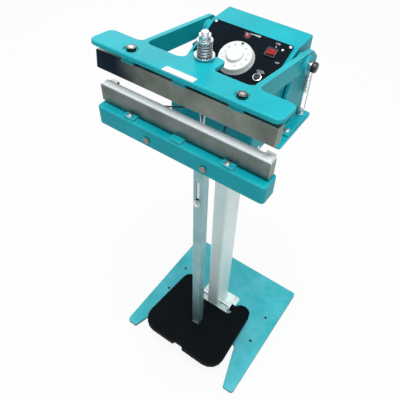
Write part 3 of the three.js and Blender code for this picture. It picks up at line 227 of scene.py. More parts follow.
middle = (0, -0.05, 0.6)
soft_lamp("above", (0.6, -0.75, 6.3), middle, 3.6, 400, (1, 1, 1))
soft_lamp("front_fill", (2.7, -1.7, 1.9), middle, 1.6, 10, (1, 0.99, 0.97))
soft_lamp("rear_fill", (-1.9, 1.9, 1.7), middle, 1.6, 12, (0.97, 0.99, 1))
bpy.context.scene.view_settings.view_transform = "Standard"
print("studio with", len(bpy.data.lights), "lamps")

# %% [markdown]
# ## Effects shared by the finishes
#
# Paint on a casting, brushed steel and moulded plastic differ in colour, but they share a few effects: a
# slight mottle, fine relief, a brushed grain, and the bright line that light and wear leave along an
# edge. Each is a node group with named inputs, so that every finish can use it with its own values.


# %% A group with named sockets
def group(name, inputs, outputs):
    """A new shader node group. inputs and outputs give each socket's first value by its name: a float, or
    three numbers or None for a vector."""
    made = bpy.data.node_groups.new(name, "ShaderNodeTree")
    for direction, sockets in (("INPUT", inputs), ("OUTPUT", outputs)):
        for label, value in sockets.items():
            kind = "NodeSocketFloat" if isinstance(value, float) else "NodeSocketVector"
            socket = made.interface.new_socket(label, in_out=direction, socket_type=kind)
            if value is not None:
                socket.default_value = value
    return made, made.nodes.new("NodeGroupInput").outputs, made.nodes.new("NodeGroupOutput").inputs


def use(tree, made, **values):
    """Places a group in a tree, with its own values, and gives its outputs."""
    node = tree.nodes.new("ShaderNodeGroup")
    node.node_tree = made
    fill(tree, node, **values)
    return node.outputs


def noise(tree, place, size, detail, roughness):
    """Noise whose spots have a size, as a socket."""
    rate = math_node(tree, "DIVIDE", 1.0, size)
    return add(tree, "TexNoise", Vector=place, Scale=rate, Detail=detail, Roughness=roughness).outputs[0]


# %% Mottle: two sizes of noise, as one value from 0 to 1
mottle, given, put = group("mottle", {"Place": None, "Size": 0.05}, {"Value": 0.0})
broad = noise(mottle, given["Place"], given["Size"], 3.0, 0.55)
feed(mottle, put["Value"], ramp(mottle, broad, 0.3, 0.7))

# %% Relief: the orange peel of sprayed paint or the skin of a casting, as a height
relief, given, put = group("relief", {"Place": None, "Size": 0.002}, {"Height": 0.0})
feed(relief, put["Height"], noise(relief, given["Place"], given["Size"], 2.0, 0.5))

# %% Grain: noise drawn out along one axis, as metal is after brushing or rolling
grain, given, put = group("grain", {"Place": None, "Stretch": (1, 1, 1), "Size": 0.001}, {"Value": 0.0})
stretched = add(grain, "VectorMath", operation="MULTIPLY")
feed(grain, stretched.inputs[0], given["Place"])
feed(grain, stretched.inputs[1], given["Stretch"])
lines = noise(grain, stretched.outputs[0], given["Size"], 3.0, 0.6)
feed(grain, put["Value"], ramp(grain, lines, 0.25, 0.75))

# %% Soft edge: a normal that rounds sharp edges, and a mask of where they are
soft_edge, given, put = group("soft_edge", {"Radius": 0.001, "Strength": 1.0}, {"Normal": None, "Mask": 0.0})
bevel = add(soft_edge, "Bevel", samples=6, Radius=given["Radius"])
true = add(soft_edge, "NewGeometry")
match = add(soft_edge, "VectorMath", operation="DOT_PRODUCT")
feed(soft_edge, match.inputs[0], bevel.outputs[0])
feed(soft_edge, match.inputs[1], true.outputs["True Normal"])
# How far the rounded normal turns from the true one lights the edges: partly a painted highlight, partly wear.
apart = math_node(soft_edge, "SUBTRACT", 1.0, match.outputs["Value"])
apart = math_node(soft_edge, "MULTIPLY", apart, 6.0)
edge_light_and_wear = math_node(soft_edge, "MULTIPLY", apart, given["Strength"], clamp=True)
feed(soft_edge, put["Normal"], bevel.outputs[0])
feed(soft_edge, put["Mask"], edge_light_and_wear)

# %% Grime: a mask of broad patches that fades out above the floor
grime, given, put = group("grime", {"Place": None, "Level": 0.1, "Size": 0.12}, {"Mask": 0.0})
low = ramp(grime, split(grime, given["Place"])["Z"], 0.0, given["Level"], To_Min=1.0, To_Max=0.0)
some = ramp(grime, noise(grime, given["Place"], given["Size"], 4.0, 0.6), 0.42, 0.72)
feed(grime, put["Mask"], math_node(grime, "MULTIPLY", low, some))
print(len(bpy.data.node_groups), "shared effects")

# %% [markdown]
# ## Finishes
#
# Each finish is one material: a Principled shader whose colour, roughness and normal come from the
# shared effects. Colours are given as they look in print and are turned into light values here, because
# a shader works with light. Every value that is the same all over sits on the shader's own socket.


# %% Colour and shader helpers
def light(red, green, blue):
    """A printed colour of 0 to 255 as linear light, with full alpha."""
    shares = np.array([red, green, blue]) / 255
    linear = np.where(shares <= 0.04045, shares / 12.92, ((shares + 0.055) / 1.055) ** 2.4)
    return (*map(float, linear), 1.0)


def blend_colour(tree, factor, first, second):
    """Mixes two colours, each a socket or a colour, by a factor socket."""
    node = tree.nodes.new("ShaderNodeMix")
    node.data_type = "RGBA"
    feed(tree, node.inputs["Factor"], factor)
    feed(tree, node.inputs[6], first)
    feed(tree, node.inputs[7], second)
    return node.outputs[2]


def scaled(tree, factor, low, high):
    """A value from low to high as factor goes from 0 to 1."""
    return add(tree, "MapRange", Value=factor, To_Min=low, To_Max=high).outputs[0]


finishes = {}


def start(name):
    """A new finish under its name: its tree, the place on the object, and its Principled shader."""
    made = bpy.data.materials.new(name)
    tree = empty_tree(made)
    shader = add(tree, "BsdfPrincipled")
    feed(tree, add(tree, "OutputMaterial").inputs[0], shader.outputs[0])
    place = add(tree, "TexCoord").outputs["Object"]
    finishes[name] = made
    return tree, place, shader


def bump(tree, height, strength, distance, normal=None):
    """A Bump node over another normal, as a socket."""
    return add(tree, "Bump", Height=height, Strength=strength, Distance=distance, Normal=normal).outputs[0]


# %% Painted and moulded finishes: mottle, relief and pale edges
peel_depth, furrow_depth = 0.0004, 0.0002
dust_level, dust_patch, dust_share = 0.2, 0.05, 0.28


def facing(tree):
    """The way a face looks, along the object's own X, Y and Z."""
    return split(tree, add(tree, "TexCoord").outputs["Normal"])


def coated(name, deep, full, edge, roughness, lift, peel=0.0025, edge_radius=0.0015, edge_strength=0.5,
           coat=0.0, specular=0.5, sides=None, dust=None):
    """Paint, powder or plastic: colour from deep to full by the mottle, and edge along the edges, partly a
    painted highlight and partly wear. Sides is a painted shade on the faces that don't look up, and dust
    lies in patches on what is near the floor."""
    tree, place, shader = start(name)
    cloud = use(tree, mottle, Place=place, Size=0.08)
    rim = use(tree, soft_edge, Radius=edge_radius, Strength=edge_strength)
    bumps = use(tree, relief, Place=place, Size=peel)
    colour = blend_colour(tree, cloud["Value"], light(*deep), light(*full))
    colour = blend_colour(tree, rim["Mask"], colour, light(*edge))
    # Faces that don't look up get a painted shade.
    if sides:
        side_shade_share = ramp(tree, facing(tree)["Z"], 0.6, 0.2)
        colour = blend_colour(tree, side_shade_share, colour, light(*sides))
    if dust:
        lying = use(tree, grime, Place=place, Level=dust_level, Size=dust_patch)
        thin = math_node(tree, "MULTIPLY", lying["Mask"], dust_share)
        colour = blend_colour(tree, thin, colour, light(*dust))
    fill(
        tree, shader,
        Base_Color=colour,
        Roughness=scaled(tree, cloud["Value"], roughness - 0.05, roughness + 0.05),
        Normal=bump(tree, bumps["Height"], lift, peel_depth, rim["Normal"]),
        Specular_IOR_Level=specular,
        Coat_Weight=coat,
        Coat_Roughness=0.12,
    )


coated("teal_paint", (6, 152, 163), (24, 168, 180), (110, 216, 226), 0.4, lift=0.22, edge_radius=0.0022,
       edge_strength=0.6, specular=0.1)
# The base plate: pale dust in patches near the floor, and a painted shade on its sides.
coated("dusty_teal_shaded_sides", (40, 164, 172), (80, 186, 200), (150, 222, 230), 0.45, lift=0.22, edge_radius=0.0022,
       edge_strength=0.5, specular=0.15, sides=(12, 92, 100), dust=(128, 200, 208))
coated("black_powder", (4, 9, 12), (9, 15, 18), (40, 52, 56), 0.6, lift=0.35, peel=0.0016,
       edge_radius=0.002, edge_strength=0.3, specular=0.04)
coated("panel_black", (3, 13, 20), (8, 20, 29), (60, 66, 74), 0.5, lift=0.08, edge_radius=0.0006,
       specular=0.04)
coated("black_plastic", (13, 13, 15), (22, 22, 24), (74, 74, 76), 0.36, lift=0.1,
       peel=0.0008, edge_radius=0.0005)
coated("white_plastic", (206, 212, 209), (220, 225, 222), (244, 247, 245), 0.4,
       lift=0.04, peel=0.0012, edge_radius=0.0008, specular=0.3)
coated("red_plastic", (132, 6, 18), (158, 12, 26), (206, 80, 86), 0.34,
       lift=0.03, edge_radius=0.0005, edge_strength=0.35, specular=0.2)
coated("rubber", (18, 18, 19), (30, 30, 31), (58, 58, 58), 0.85, lift=0.3, peel=0.0009, edge_radius=0.0006)
coated("strip_rubber", (120, 38, 28), (150, 54, 40), (180, 90, 70), 0.75, lift=0.2, peel=0.0009,
       edge_radius=0.0004)
coated("board_green", (18, 78, 48), (28, 96, 60), (120, 150, 100), 0.4, lift=0.05, edge_radius=0.0003)
print("painted and moulded finishes made")


# %% Metal finishes: a grain along one axis, with its sheen and tiny furrows
def metal(name, deep, full, edge, rough_low, rough_high, stretch=(1, 1, 1), size=0.0012, metallic=1.0,
          lift=0.1, edge_radius=0.0006, edge_strength=0.4, streaks=0.5, dark_front_end=None, milled=None, crown=None):
    """Metal: colour by a broad mottle and by streaks of the grain, which also gives the roughness and the
    relief, and bright along the edges, partly a painted highlight and partly wear. film (colour, first x,
    last x) darkens the front where x goes from the first to the last, milled is a painted highlight on the
    faces that look up, and a crown (colour, x, y, radius) is a round in the middle of a bolt's head at x
    and y and of its twin at -x."""
    tree, place, shader = start(name)
    cloud = use(tree, mottle, Place=place, Size=0.05)
    furrow = use(tree, grain, Place=place, Stretch=stretch, Size=size)
    rim = use(tree, soft_edge, Radius=edge_radius, Strength=edge_strength)
    clouded = math_node(tree, "MULTIPLY", cloud["Value"], 1 - streaks)
    streaked = math_node(tree, "MULTIPLY", furrow["Value"], streaks)
    colour = blend_colour(tree, math_node(tree, "ADD", clouded, streaked), light(*deep), light(*full))
    colour = blend_colour(tree, rim["Mask"], colour, light(*edge))
    # Faces that look up get a painted highlight.
    if milled:
        up = ramp(tree, facing(tree)["Z"], 0.6, 0.9)
        colour = blend_colour(tree, up, colour, light(*milled))
    if crown:
        shade, crown_x, crown_y, crown_radius = crown
        spot = split(tree, place)
        aside = math_node(tree, "SUBTRACT", math_node(tree, "ABSOLUTE", spot["X"]), crown_x)
        beside = math_node(tree, "SUBTRACT", spot["Y"], crown_y)
        squares = [math_node(tree, "MULTIPLY", value, value) for value in (aside, beside)]
        off = math_node(tree, "SQRT", math_node(tree, "ADD", *squares))
        inside = ramp(tree, off, crown_radius, crown_radius * 0.75)
        colour = blend_colour(tree, inside, colour, light(*shade))
    # Front faces darken towards one end of the bar, from the first x to the last.
    if dark_front_end:
        shade, first, last = dark_front_end
        wander = math_node(tree, "MULTIPLY", cloud["Value"], 0.02)
        reach = math_node(tree, "ADD", split(tree, place)["X"], wander)
        cover = ramp(tree, reach, first, last, interpolation_type="SMOOTHSTEP")
        front = ramp(tree, facing(tree)["Y"], -0.3, -0.6)
        colour = blend_colour(tree, math_node(tree, "MULTIPLY", cover, front), colour, light(*shade))
    fill(
        tree, shader,
        Base_Color=colour,
        Roughness=scaled(tree, furrow["Value"], rough_low, rough_high),
        Normal=bump(tree, furrow["Value"], lift, furrow_depth, rim["Normal"]),
        Metallic=metallic,
    )


upright_grain = (1, 1, 0.02)
bar_grain = {"stretch": (1, 0.04, 0.04), "size": 0.0009, "edge_radius": 0.001, "edge_strength": 0.6}
# The column: pale grey-green paint, with more cyan as a painted reflection of the teal base.
metal("column_steel", (216, 236, 234), (234, 250, 247), (252, 254, 254), 0.34, 0.46, stretch=upright_grain,
      metallic=0.18, edge_radius=0.003, edge_strength=0.3)
metal("bright_steel", (190, 194, 198), (222, 225, 228), (250, 250, 250), 0.12, 0.26,
      edge_radius=0.0005, lift=0.05)
metal("spring_steel", (104, 112, 116), (148, 156, 160), (214, 220, 222), 0.18, 0.32)
# The pull rod: grey steel whose teal tint is a painted reflection of the teal castings.
metal("rod_steel", (112, 156, 160), (150, 190, 194), (212, 232, 234), 0.28, 0.44, stretch=upright_grain,
      metallic=0.75, edge_radius=0.002, edge_strength=0.35, streaks=0.3)
# The lower jaw bar: its faces that look up are lighter, a painted highlight.
metal("bar_metal", (84, 94, 92), (120, 131, 127), (218, 232, 232), 0.26, 0.42, streaks=0.25,
      milled=(222, 236, 240), **bar_grain)
# The upper jaw bar, darker on its front towards the left end.
metal("dark_ended_metal", (88, 96, 91), (126, 134, 127), (218, 232, 232), 0.26, 0.42, streaks=0.2,
      dark_front_end=((5, 26, 38), -0.03, -0.128), **bar_grain)
metal("dark_steel", (104, 98, 90), (150, 142, 132), (226, 222, 214), 0.14, 0.3)
# Frame bolt heads: a bright crown in the middle, and round it a darker colour that is painted shade of the
# recess.
metal("shaded_bolt_head", (74, 66, 58), (112, 102, 92), (196, 190, 182), 0.14, 0.3,
      crown=((196, 190, 184), 0.105, -0.1498, 0.0048))
metal("nichrome", (120, 110, 104), (160, 148, 140), (190, 180, 170), 0.3, 0.45, stretch=(0.04, 1, 1))
metal("laminations", (70, 72, 76), (104, 106, 110), (150, 150, 152), 0.45, 0.6, stretch=(0.02, 0.02, 1),
      metallic=0.7)
metal("copper_coil", (150, 78, 42), (196, 112, 66), (226, 160, 110), 0.3, 0.5, stretch=(0.04, 0.04, 1),
      size=0.0008)
metal("nickel_plate", (168, 170, 164), (204, 204, 196), (244, 242, 234), 0.16, 0.3)
print("metal finishes made")

# %% Coated cloth over the heating ribbon
tree, place, shader = start("coated_cloth")
weave_scale = 420.0
weave = [
    add(tree, "TexWave", Vector=place, Scale=weave_scale, Distortion=0.0, bands_direction=axis).outputs["Fac"]
    for axis in ("X", "Y")
]
threads = math_node(tree, "MAXIMUM", *weave)
scorch = use(tree, mottle, Place=place, Size=0.03)
fill(
    tree, shader,
    Base_Color=blend_colour(tree, scorch["Value"], light(232, 244, 247), light(244, 252, 253)),
    Roughness=scaled(tree, threads, 0.42, 0.6),
    Normal=bump(tree, threads, 0.15, furrow_depth),
)

# %% Lens of the pilot lamp
tree, place, shader = start("lamp_lens")
depth = use(tree, mottle, Place=place, Size=0.004)
fill(
    tree, shader,
    Base_Color=blend_colour(tree, depth["Value"], light(200, 70, 84), light(226, 118, 128)),
    Roughness=scaled(tree, depth["Value"], 0.1, 0.16),
    Transmission_Weight=0.35,
    IOR=1.49,
)

# %% [markdown]
# ## Finish every solid
#
# The model names a material slot for each solid, and the finish of that name goes on its own slots. A few
# slots and solids have a finish of another name. A pin with a plastic cap gets the cap as a piece of its
# own, further on.

# %% Give each solid its finish
finish_of_slot = {"black_paint": "black_powder", "circuit_board": "board_green"}
finish_of_node = {"control_panel": "panel_black", "base_plate": "dusty_teal_shaded_sides", "upper_jaw_bar": "dark_ended_metal"}
for side in ("left", "right"):
    finish_of_node["element_clamp_" + side] = "nickel_plate"
    finish_of_node["frame_bolt_" + side] = "shaded_bolt_head"
    finish_of_node["beam_bolt_" + side] = "dark_steel"
for entry in frame["record"]["subparts"]:
    name, slot = entry["node"], entry["material_slot"]
    finish = finish_of_node.get(name, finish_of_slot.get(slot, slot))
    for held in nodes[name].material_slots:
        held.link = "OBJECT"
        held.material = finishes[finish]
print(len(nodes), "solids dressed with", len(finishes), "finishes")

# %% [markdown]
# ## How new pieces are made
#
# Most small parts of a machine are rings of points joined into a skin: a turned knob, a bent wire, a
# hexagon nut. So one function takes a stack of rings, all with the same number of points, and joins each
# to the next. Its faces are turned outwards by measuring the volume they enclose, which is positive only
# when they face out.


# %% Skin over a stack of rings
sharp_angle = math.radians(32)


def skin(rings, closed_ends=True):
    """Vertices and faces over rings[k, n]: quads between ring k and k + 1, and one flat face at each end."""
    rings = np.asarray(rings, float)
    stack, around = rings.shape[:2]
    first = np.arange(stack - 1)[:, None] * around
    turn = np.arange(around)
    after = (turn + 1) % around
    quads = np.stack([first + turn, first + after, first + around + after, first + around + turn], -1)
    faces = quads.reshape(-1, 4).tolist()
    if closed_ends:
        faces += [turn[::-1].tolist(), (turn + (stack - 1) * around).tolist()]
    points = rings.reshape(-1, 3)
    return points, faces


def volume(points, faces):
    """Volume inside flat faces: a sixth of the sum of each triangle's triple product."""
    triangles = np.array([(f[0], f[i], f[i + 1]) for f in faces for i in range(1, len(f) - 1)])
    a, b, c = (points[triangles[:, i]] for i in range(3))
    return np.einsum("ij,ij->", a, np.cross(b, c)) / 6


def piece(name, parts, finish, body="root", slot=None, closed=True, smooth=True):
    """A mesh object of one or more (points, faces) parts in millimetres, that rides on a body. With None for
    a body it is left free. The slot is not used."""
    points, faces = [], []
    for part_points, part_faces in parts:
        if closed and volume(part_points, part_faces) < 0:
            part_faces = [face[::-1] for face in part_faces]
        start_index = sum(len(p) for p in points)
        points.append(part_points)
        faces += [[index + start_index for index in face] for face in part_faces]
    mesh = bpy.data.meshes.new(name)
    mesh.from_pydata((np.concatenate(points) * mm).tolist(), [], faces)
    mesh.polygons.foreach_set("use_smooth", np.full(len(mesh.polygons), smooth))
    mesh.update()
    if smooth:
        mesh.set_sharp_from_angle(angle=sharp_angle)
    mesh.materials.append(finishes[finish])
    made = linked(name, mesh)
    if body:
        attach(made, body)
    slot = slot or finish
    return made


# %% Rings of turned, drawn and bent shapes
def full_turn(count):
    """So many angles, in equal steps round a full circle."""
    return np.linspace(0, 2 * np.pi, count, endpoint=False)


def round_points(radius, angle, height):
    """Points at a radius and an angle about Z, and at a height."""
    x, y = radius * np.cos(angle), radius * np.sin(angle)
    return np.stack([x, y, np.broadcast_to(height, x.shape)], -1)


def turned(profile, count, wave=None):
    """Rings of a turned shape about Z: each (radius, height) of the profile swept through a full circle.
    wave(angle) is a share of the radius for each ring, for flutes and flats."""
    profile = np.asarray(profile, float)
    angle = full_turn(count)
    share = np.ones((len(profile), count)) if wave is None else wave(angle)
    return round_points(profile[:, :1] * share, angle, profile[:, 1:])


def flats(rows, shape):
    """A wave that gives some rings the outline shape(angle), a share of their radius, and leaves the others
    round. rows has 1 for each ring that gets it and 0 for the others."""
    return lambda angle: 1 + np.asarray(rows, float)[:, None] * (shape(angle) - 1)


def grooves(number, depths):
    """A wave of so many round grooves, with a depth for each ring as a share of its radius."""
    return lambda angle: 1 - np.asarray(depths, float)[:, None] * (0.5 + 0.5 * np.cos(number * angle))


def hexagon(angle):
    """1 over the cosine of the angle from the middle of the nearest of six flats."""
    return 1 / np.cos(angle % (np.pi / 3) - np.pi / 6)


def rectangle(half_x, half_y):
    """The nearer side of a rectangle along each angle."""
    return lambda angle: np.minimum(half_x / np.maximum(np.abs(np.cos(angle)), 1e-6),
                                    half_y / np.maximum(np.abs(np.sin(angle)), 1e-6))


def drawn(path, radius, sides=12):
    """Rings of a round wire along path[k]: at each point a circle square to the way, turned about it as one
    helper vector says, which no wire of this object runs along."""
    path = np.asarray(path, float)
    way = np.gradient(path, axis=0)
    way /= np.linalg.norm(way, axis=1, keepdims=True)
    helper = np.array([0.31, 0.17, 0.93])
    side = np.cross(way, helper)
    side /= np.linalg.norm(side, axis=1, keepdims=True)
    other = np.cross(way, side)
    angle = full_turn(sides)
    circle = side[:, None] * np.cos(angle)[None, :, None] + other[:, None] * np.sin(angle)[None, :, None]
    return path[:, None] + circle * radius


def rounded(half_x, half_y, corner, steps=6):
    """Outline of a rounded rectangle about zero: quarter circles round four corner centres."""
    angle = np.linspace(0, np.pi / 2, steps)
    quarter = np.stack([np.cos(angle), np.sin(angle)], -1) * corner
    turns = [(1, 1), (-1, 1), (-1, -1), (1, -1)]
    spin = [np.array([[math.cos(a), math.sin(a)], [-math.sin(a), math.cos(a)]])
            for a in np.arange(4) * np.pi / 2]
    middle = [np.array([x * (half_x - corner), y * (half_y - corner)]) for x, y in turns]
    return np.concatenate([quarter @ s + m for s, m in zip(spin, middle)])


def layered(levels):
    """Rings that are flat outlines, each at its own height. levels is a list of (outline, height)."""
    return np.stack([np.column_stack([flat, np.full(len(flat), height)]) for flat, height in levels])


def slab(outline, low, high, edge):
    """Rings of a flat plate from low to high whose upper rim is drawn in by edge, towards the middle."""
    outline = np.asarray(outline, float)
    reach = np.abs(outline).max(0)
    inner = outline * (1 - edge / reach)
    return layered([(outline, low), (outline, high - edge), (inner, high)])


def moved(rings, place=(0, 0, 0), axes=None):
    """Points carried to a place; axes are three unit vectors that X, Y and Z turn into."""
    rings = np.asarray(rings, float)
    if axes is not None:
        rings = rings @ np.asarray(axes, float)
    return rings + np.asarray(place, float)


def tipped(angle):
    """Axes of something that is tipped back about X by an angle."""
    return np.array([[1, 0, 0], [0, math.cos(angle), math.sin(angle)], [0, -math.sin(angle), math.cos(angle)]])


def disc(radius):
    """Outline of a round about zero."""
    angle = full_turn(24)
    return np.stack([np.cos(angle), np.sin(angle)], -1) * radius


facing_right = [[0, 1, 0], [0, 0, 1], [1, 0, 0]]
both_sides = ((1, "right"), (-1, "left"))
print("piece helpers ready")

# %% [markdown]
# ## Control panel
#
# The panel slopes to the front. Its pieces are drawn flat, as on a drawing of the panel, with x across
# and y up the slope from the crest, and one function lays them on the slope. The face height is read
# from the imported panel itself, so that everything sits on it.

# %% From the panel's drawing to the object
slope = math.radians(23.756)
slope_axes = tipped(slope)
crest = np.array([0, 67, 968])


def solid_points(name):
    """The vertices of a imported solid, in millimetres."""
    mesh = nodes[name].data
    flat = np.empty(len(mesh.vertices) * 3)
    mesh.vertices.foreach_get("co", flat)
    return flat.reshape(-1, 3) / mm


panel_face = float(((solid_points("control_panel") - crest) @ slope_axes.T)[:, 2].max())


def on_panel(rings, x, y, lift=0.0):
    """Points of the panel's drawing, in place: centred at x, y and lifted off the panel's face."""
    return moved(moved(rings, (x, y, panel_face + lift)), crest, slope_axes)


def along(world_y):
    """How far up the slope a world Y lies, from the crest."""
    return (world_y - crest[1]) / math.cos(slope)


print("panel face", round(panel_face, 2), "mm over the crest line")

# %% [markdown]
# The dial is a white moulding with a fluted rim. A scale runs round a flat ring, and a hub stands up in
# the middle with a raised pointer. The rim's flutes are a wave on the radius. The figures are real text
# made into a mesh, because a scale of plain numbers is what such a dial has.

# %% Dial
dial_x, dial_y = 2.0, along(6.0)
dial_radius, rim_height, hub_radius, hub_top = 34.4, 12.4, 15.5, 17.8
dial_profile = [
    (dial_radius, 0.3), (dial_radius, 1.8), (dial_radius - 0.6, 2.6), (dial_radius - 2.3, 9.6),
    (dial_radius - 2.8, 11.2), (dial_radius - 3.6, 12.2), (dial_radius - 4.7, rim_height),
    (dial_radius - 5.4, 12.1), (hub_radius + 4.5, 11.7), (hub_radius + 2.2, 12.0), (hub_radius + 0.9, 13.0),
    (hub_radius, 15.6), (hub_radius - 0.5, 17.0), (hub_radius - 1.6, hub_top), (hub_radius - 3.2, 17.6),
    (4.0, 16.9), (0.6, 16.8),
]
flute_depths = np.zeros(len(dial_profile))
flute_depths[3:5] = 0.014
dial_flutes = grooves(36, flute_depths)
pointer_outline = np.array([(-1.5, 7.5), (1.5, 7.5), (1.1, 18.5), (0.0, 20.5), (-1.1, 18.5)])
pointer_foot, pointer_root, pointer_tip = 11.6, 17.6, 13.2
pointer = layered([(pointer_outline, pointer_foot), (pointer_outline, pointer_root)])
pointer[1, 2:, 2] = pointer_tip
dial = piece("dial", [
    skin(on_panel(turned(dial_profile, 216, dial_flutes), dial_x, dial_y)),
    skin(on_panel(pointer, dial_x, dial_y)),
], "white_plastic", "dial")
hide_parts("dial_knob")
print("dial of", len(dial.data.polygons), "faces")

# %% [markdown]
# Printed marks are thin raised patches. Short strokes are rectangles set round a circle, worked out as
# arrays, and figures come from Blender's text, which is made a mesh and then laid on the slope. All the
# marks of one colour are one piece.

# %% Ink, and marks from text
coated("ink_dark", (20, 28, 30), (34, 42, 44), (60, 68, 70), 0.5, lift=0.02, specular=0.1)
coated("ink_white", (214, 220, 222), (232, 236, 236), (244, 246, 246), 0.5, lift=0.02)
print_height, print_edge, font_share = 0.12, 0.03, 1.35


def word(text, size):
    """A plain word or number as (points, faces), centred, size millimetres tall and print_height thick.
    font_share is the height of Blender's font over that of its capitals."""
    curve = bpy.data.curves.new("word", "FONT")
    curve.body = text
    curve.size = size * font_share
    curve.align_x, curve.align_y = "CENTER", "CENTER"
    curve.extrude = print_height / 2
    curve.resolution_u = 2
    holder = linked("word", curve)
    bpy.context.view_layer.update()
    mesh = bpy.data.meshes.new_from_object(holder.evaluated_get(bpy.context.evaluated_depsgraph_get()))
    points = np.array([vertex.co for vertex in mesh.vertices])
    faces = [list(polygon.vertices) for polygon in mesh.polygons]
    bpy.data.objects.remove(holder)
    bpy.data.curves.remove(curve)
    bpy.data.meshes.remove(mesh)
    return points, faces


def spun(points, angle):
    """Points turned about Z by an angle."""
    turn = np.array([[math.cos(angle), math.sin(angle), 0], [-math.sin(angle), math.cos(angle), 0], [0, 0, 1]])
    return np.asarray(points, float) @ turn


def patch(half_x, half_y, corner=0.2):
    """A thin printed patch, as rings."""
    return slab(rounded(half_x, half_y, corner, 4), 0, print_height, print_edge)


# %% Scale of the dial: figures from 0 to 10, a long stroke at each and short ones between
scale_sweep = math.radians(300)
last_figure, strokes_between = 10, 5
ring_height, figure_radius, figure_size = 11.85, 22.9, 4.4
long_stroke, short_stroke = (0.45, 1.3, 27.1), (0.25, 0.8, 27.6)
marks = []
for step in range(last_figure * strokes_between + 1):
    angle = scale_sweep * (0.5 - step / (last_figure * strokes_between))
    long = step % strokes_between == 0
    half_x, half_y, radius = long_stroke if long else short_stroke
    stroke = moved(patch(half_x, half_y, 0.1), (0, radius, ring_height))
    marks.append(skin(on_panel(spun(stroke, angle), dial_x, dial_y)))
    if long:
        points, faces = word(str(step // strokes_between), figure_size)
        points = moved(points, (0, figure_radius, ring_height))
        marks.append((on_panel(spun(points, angle), dial_x, dial_y), faces))
piece("dial_scale", marks, "ink_dark", "dial", "black_plastic", closed=False, smooth=False)
index_mark = moved(slab(rounded(2.5, 1.9, 0.5), 0, 0.5, 0.1), (0, 27.4, ring_height))
piece("dial_index", [skin(on_panel(index_mark, dial_x, dial_y))], "ink_dark", "dial", "black_plastic")
print("scale of", len(marks), "marks")

# %% Marks on the panel
switch_x, switch_y = 53.0, along(40.0)
prints = []
for text, size, x, y in (("ON", 4.2, 55, -7.5), ("OFF", 3.6, 73, -44)):
    points, faces = word(text, size)
    prints.append((on_panel(points, x, y), faces))
for x, y, radius in ((68.8, -16, 2.2), (55, -14.6, 1.2)):
    prints.append(skin(on_panel(slab(disc(radius), 0, print_height, print_edge), x, y)))
ramp_bars = 13
for bar in range(ramp_bars):
    tall = 0.4 + 1.7 * bar / ramp_bars
    prints.append(skin(on_panel(patch(0.75, tall), -14 + 2.6 * bar, -8 + tall)))
fuse_mark_x, fuse_mark_y, line_half = 56.0, -71.5, 0.3
for half_x, half_y, x, y in ((9, line_half, 0, 0), (5.5, line_half, 0, 2.2), (5.5, line_half, 0, -2.2),
                             (line_half, 2.5, -5.5, 0), (line_half, 2.5, 5.5, 0)):
    prints.append(skin(on_panel(patch(half_x, half_y, 0.1), fuse_mark_x + x, fuse_mark_y + y)))
piece("panel_marks", prints, "ink_white", slot="white_plastic", closed=False, smooth=False)
print(len(prints), "marks on the panel")

# %% [markdown]
# Screws, lamp and fuse cap are all turned shapes. Where a tool or a coin goes in, the rings step from a
# circle to the shape of the recess and then go down into it, so the recess is real.


# %% Button screws, lamp and fuse
def button_screw(radius, height, socket):
    """A low domed head with a hexagon socket."""
    profile = [(radius, 0), (radius, height * 0.25), (radius * 0.9, height * 0.62),
               (radius * 0.68, height * 0.9), (socket * 1.25, height), (socket, height * 0.98),
               (socket, height * 0.35), (0.05, height * 0.3)]
    return turned(profile, 36, flats([0, 0, 0, 0, 0, 1, 1, 0], hexagon))


def panel_turned(name, profile, count, wave, x, y, finish):
    """A fixed turned piece that stands on the panel at x, y of its drawing."""
    return piece(name, [skin(on_panel(turned(profile, count, wave), x, y))], finish)


piece("panel_screws", [
    skin(on_panel(button_screw(3.2, 1.9, 1.1), x, y)) for x in (-79, 79) for y in (-6, -126)
], "bright_steel")

lamp_x, lamp_y = -5.0, along(54.0)
lamp_radius, lamp_foot, lamp_collar, dome_height = 4.9, -16.0, 1.2, 4.6
panel_turned("lamp_ring", [(7.0, 0.3), (7.0, 1.2), (6.5, 1.8), (5.7, 1.9), (5.2, 1.4), (5.1, 0.6)], 48, None,
             lamp_x, lamp_y, "black_plastic")
dome = [(lamp_radius * math.cos(a), lamp_collar + dome_height * math.sin(a))
        for a in np.linspace(0, np.pi / 2 - 0.06, 9)]
lens = panel_turned("lamp_dome", [(4.8, lamp_foot), (lamp_radius, 0.4)] + dome, 40, None, lamp_x, lamp_y,
                    "lamp_lens")
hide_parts("pilot_lamp")

fuse_x, fuse_y = 57.0, along(-11.0)
milling = grooves(24, [0, 0.03, 0.03, 0.012, 0, 0, 0])
panel_turned("fuse_nut", [
    (8.3, 0.3), (8.4, 0.9), (8.4, 2.6), (7.9, 3.3), (6.6, 3.5), (6.2, 3.2), (6.1, 0.6),
], 72, milling, fuse_x, fuse_y, "bright_steel")
coin_slot = flats([0, 0, 0, 0, 0, 1, 1, 0], rectangle(3.4, 0.75))
fuse_cap = panel_turned("fuse_cap", [
    (5.5, -30.0), (5.6, 0.5), (5.6, 5.2), (5.0, 6.1), (4.2, 6.2), (1, 6.15), (1, 4.9), (0.05, 4.8),
], 72, coin_slot, fuse_x, fuse_y, "black_plastic")
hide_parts("fuse_holder")
print("screws, lamp and fuse made")

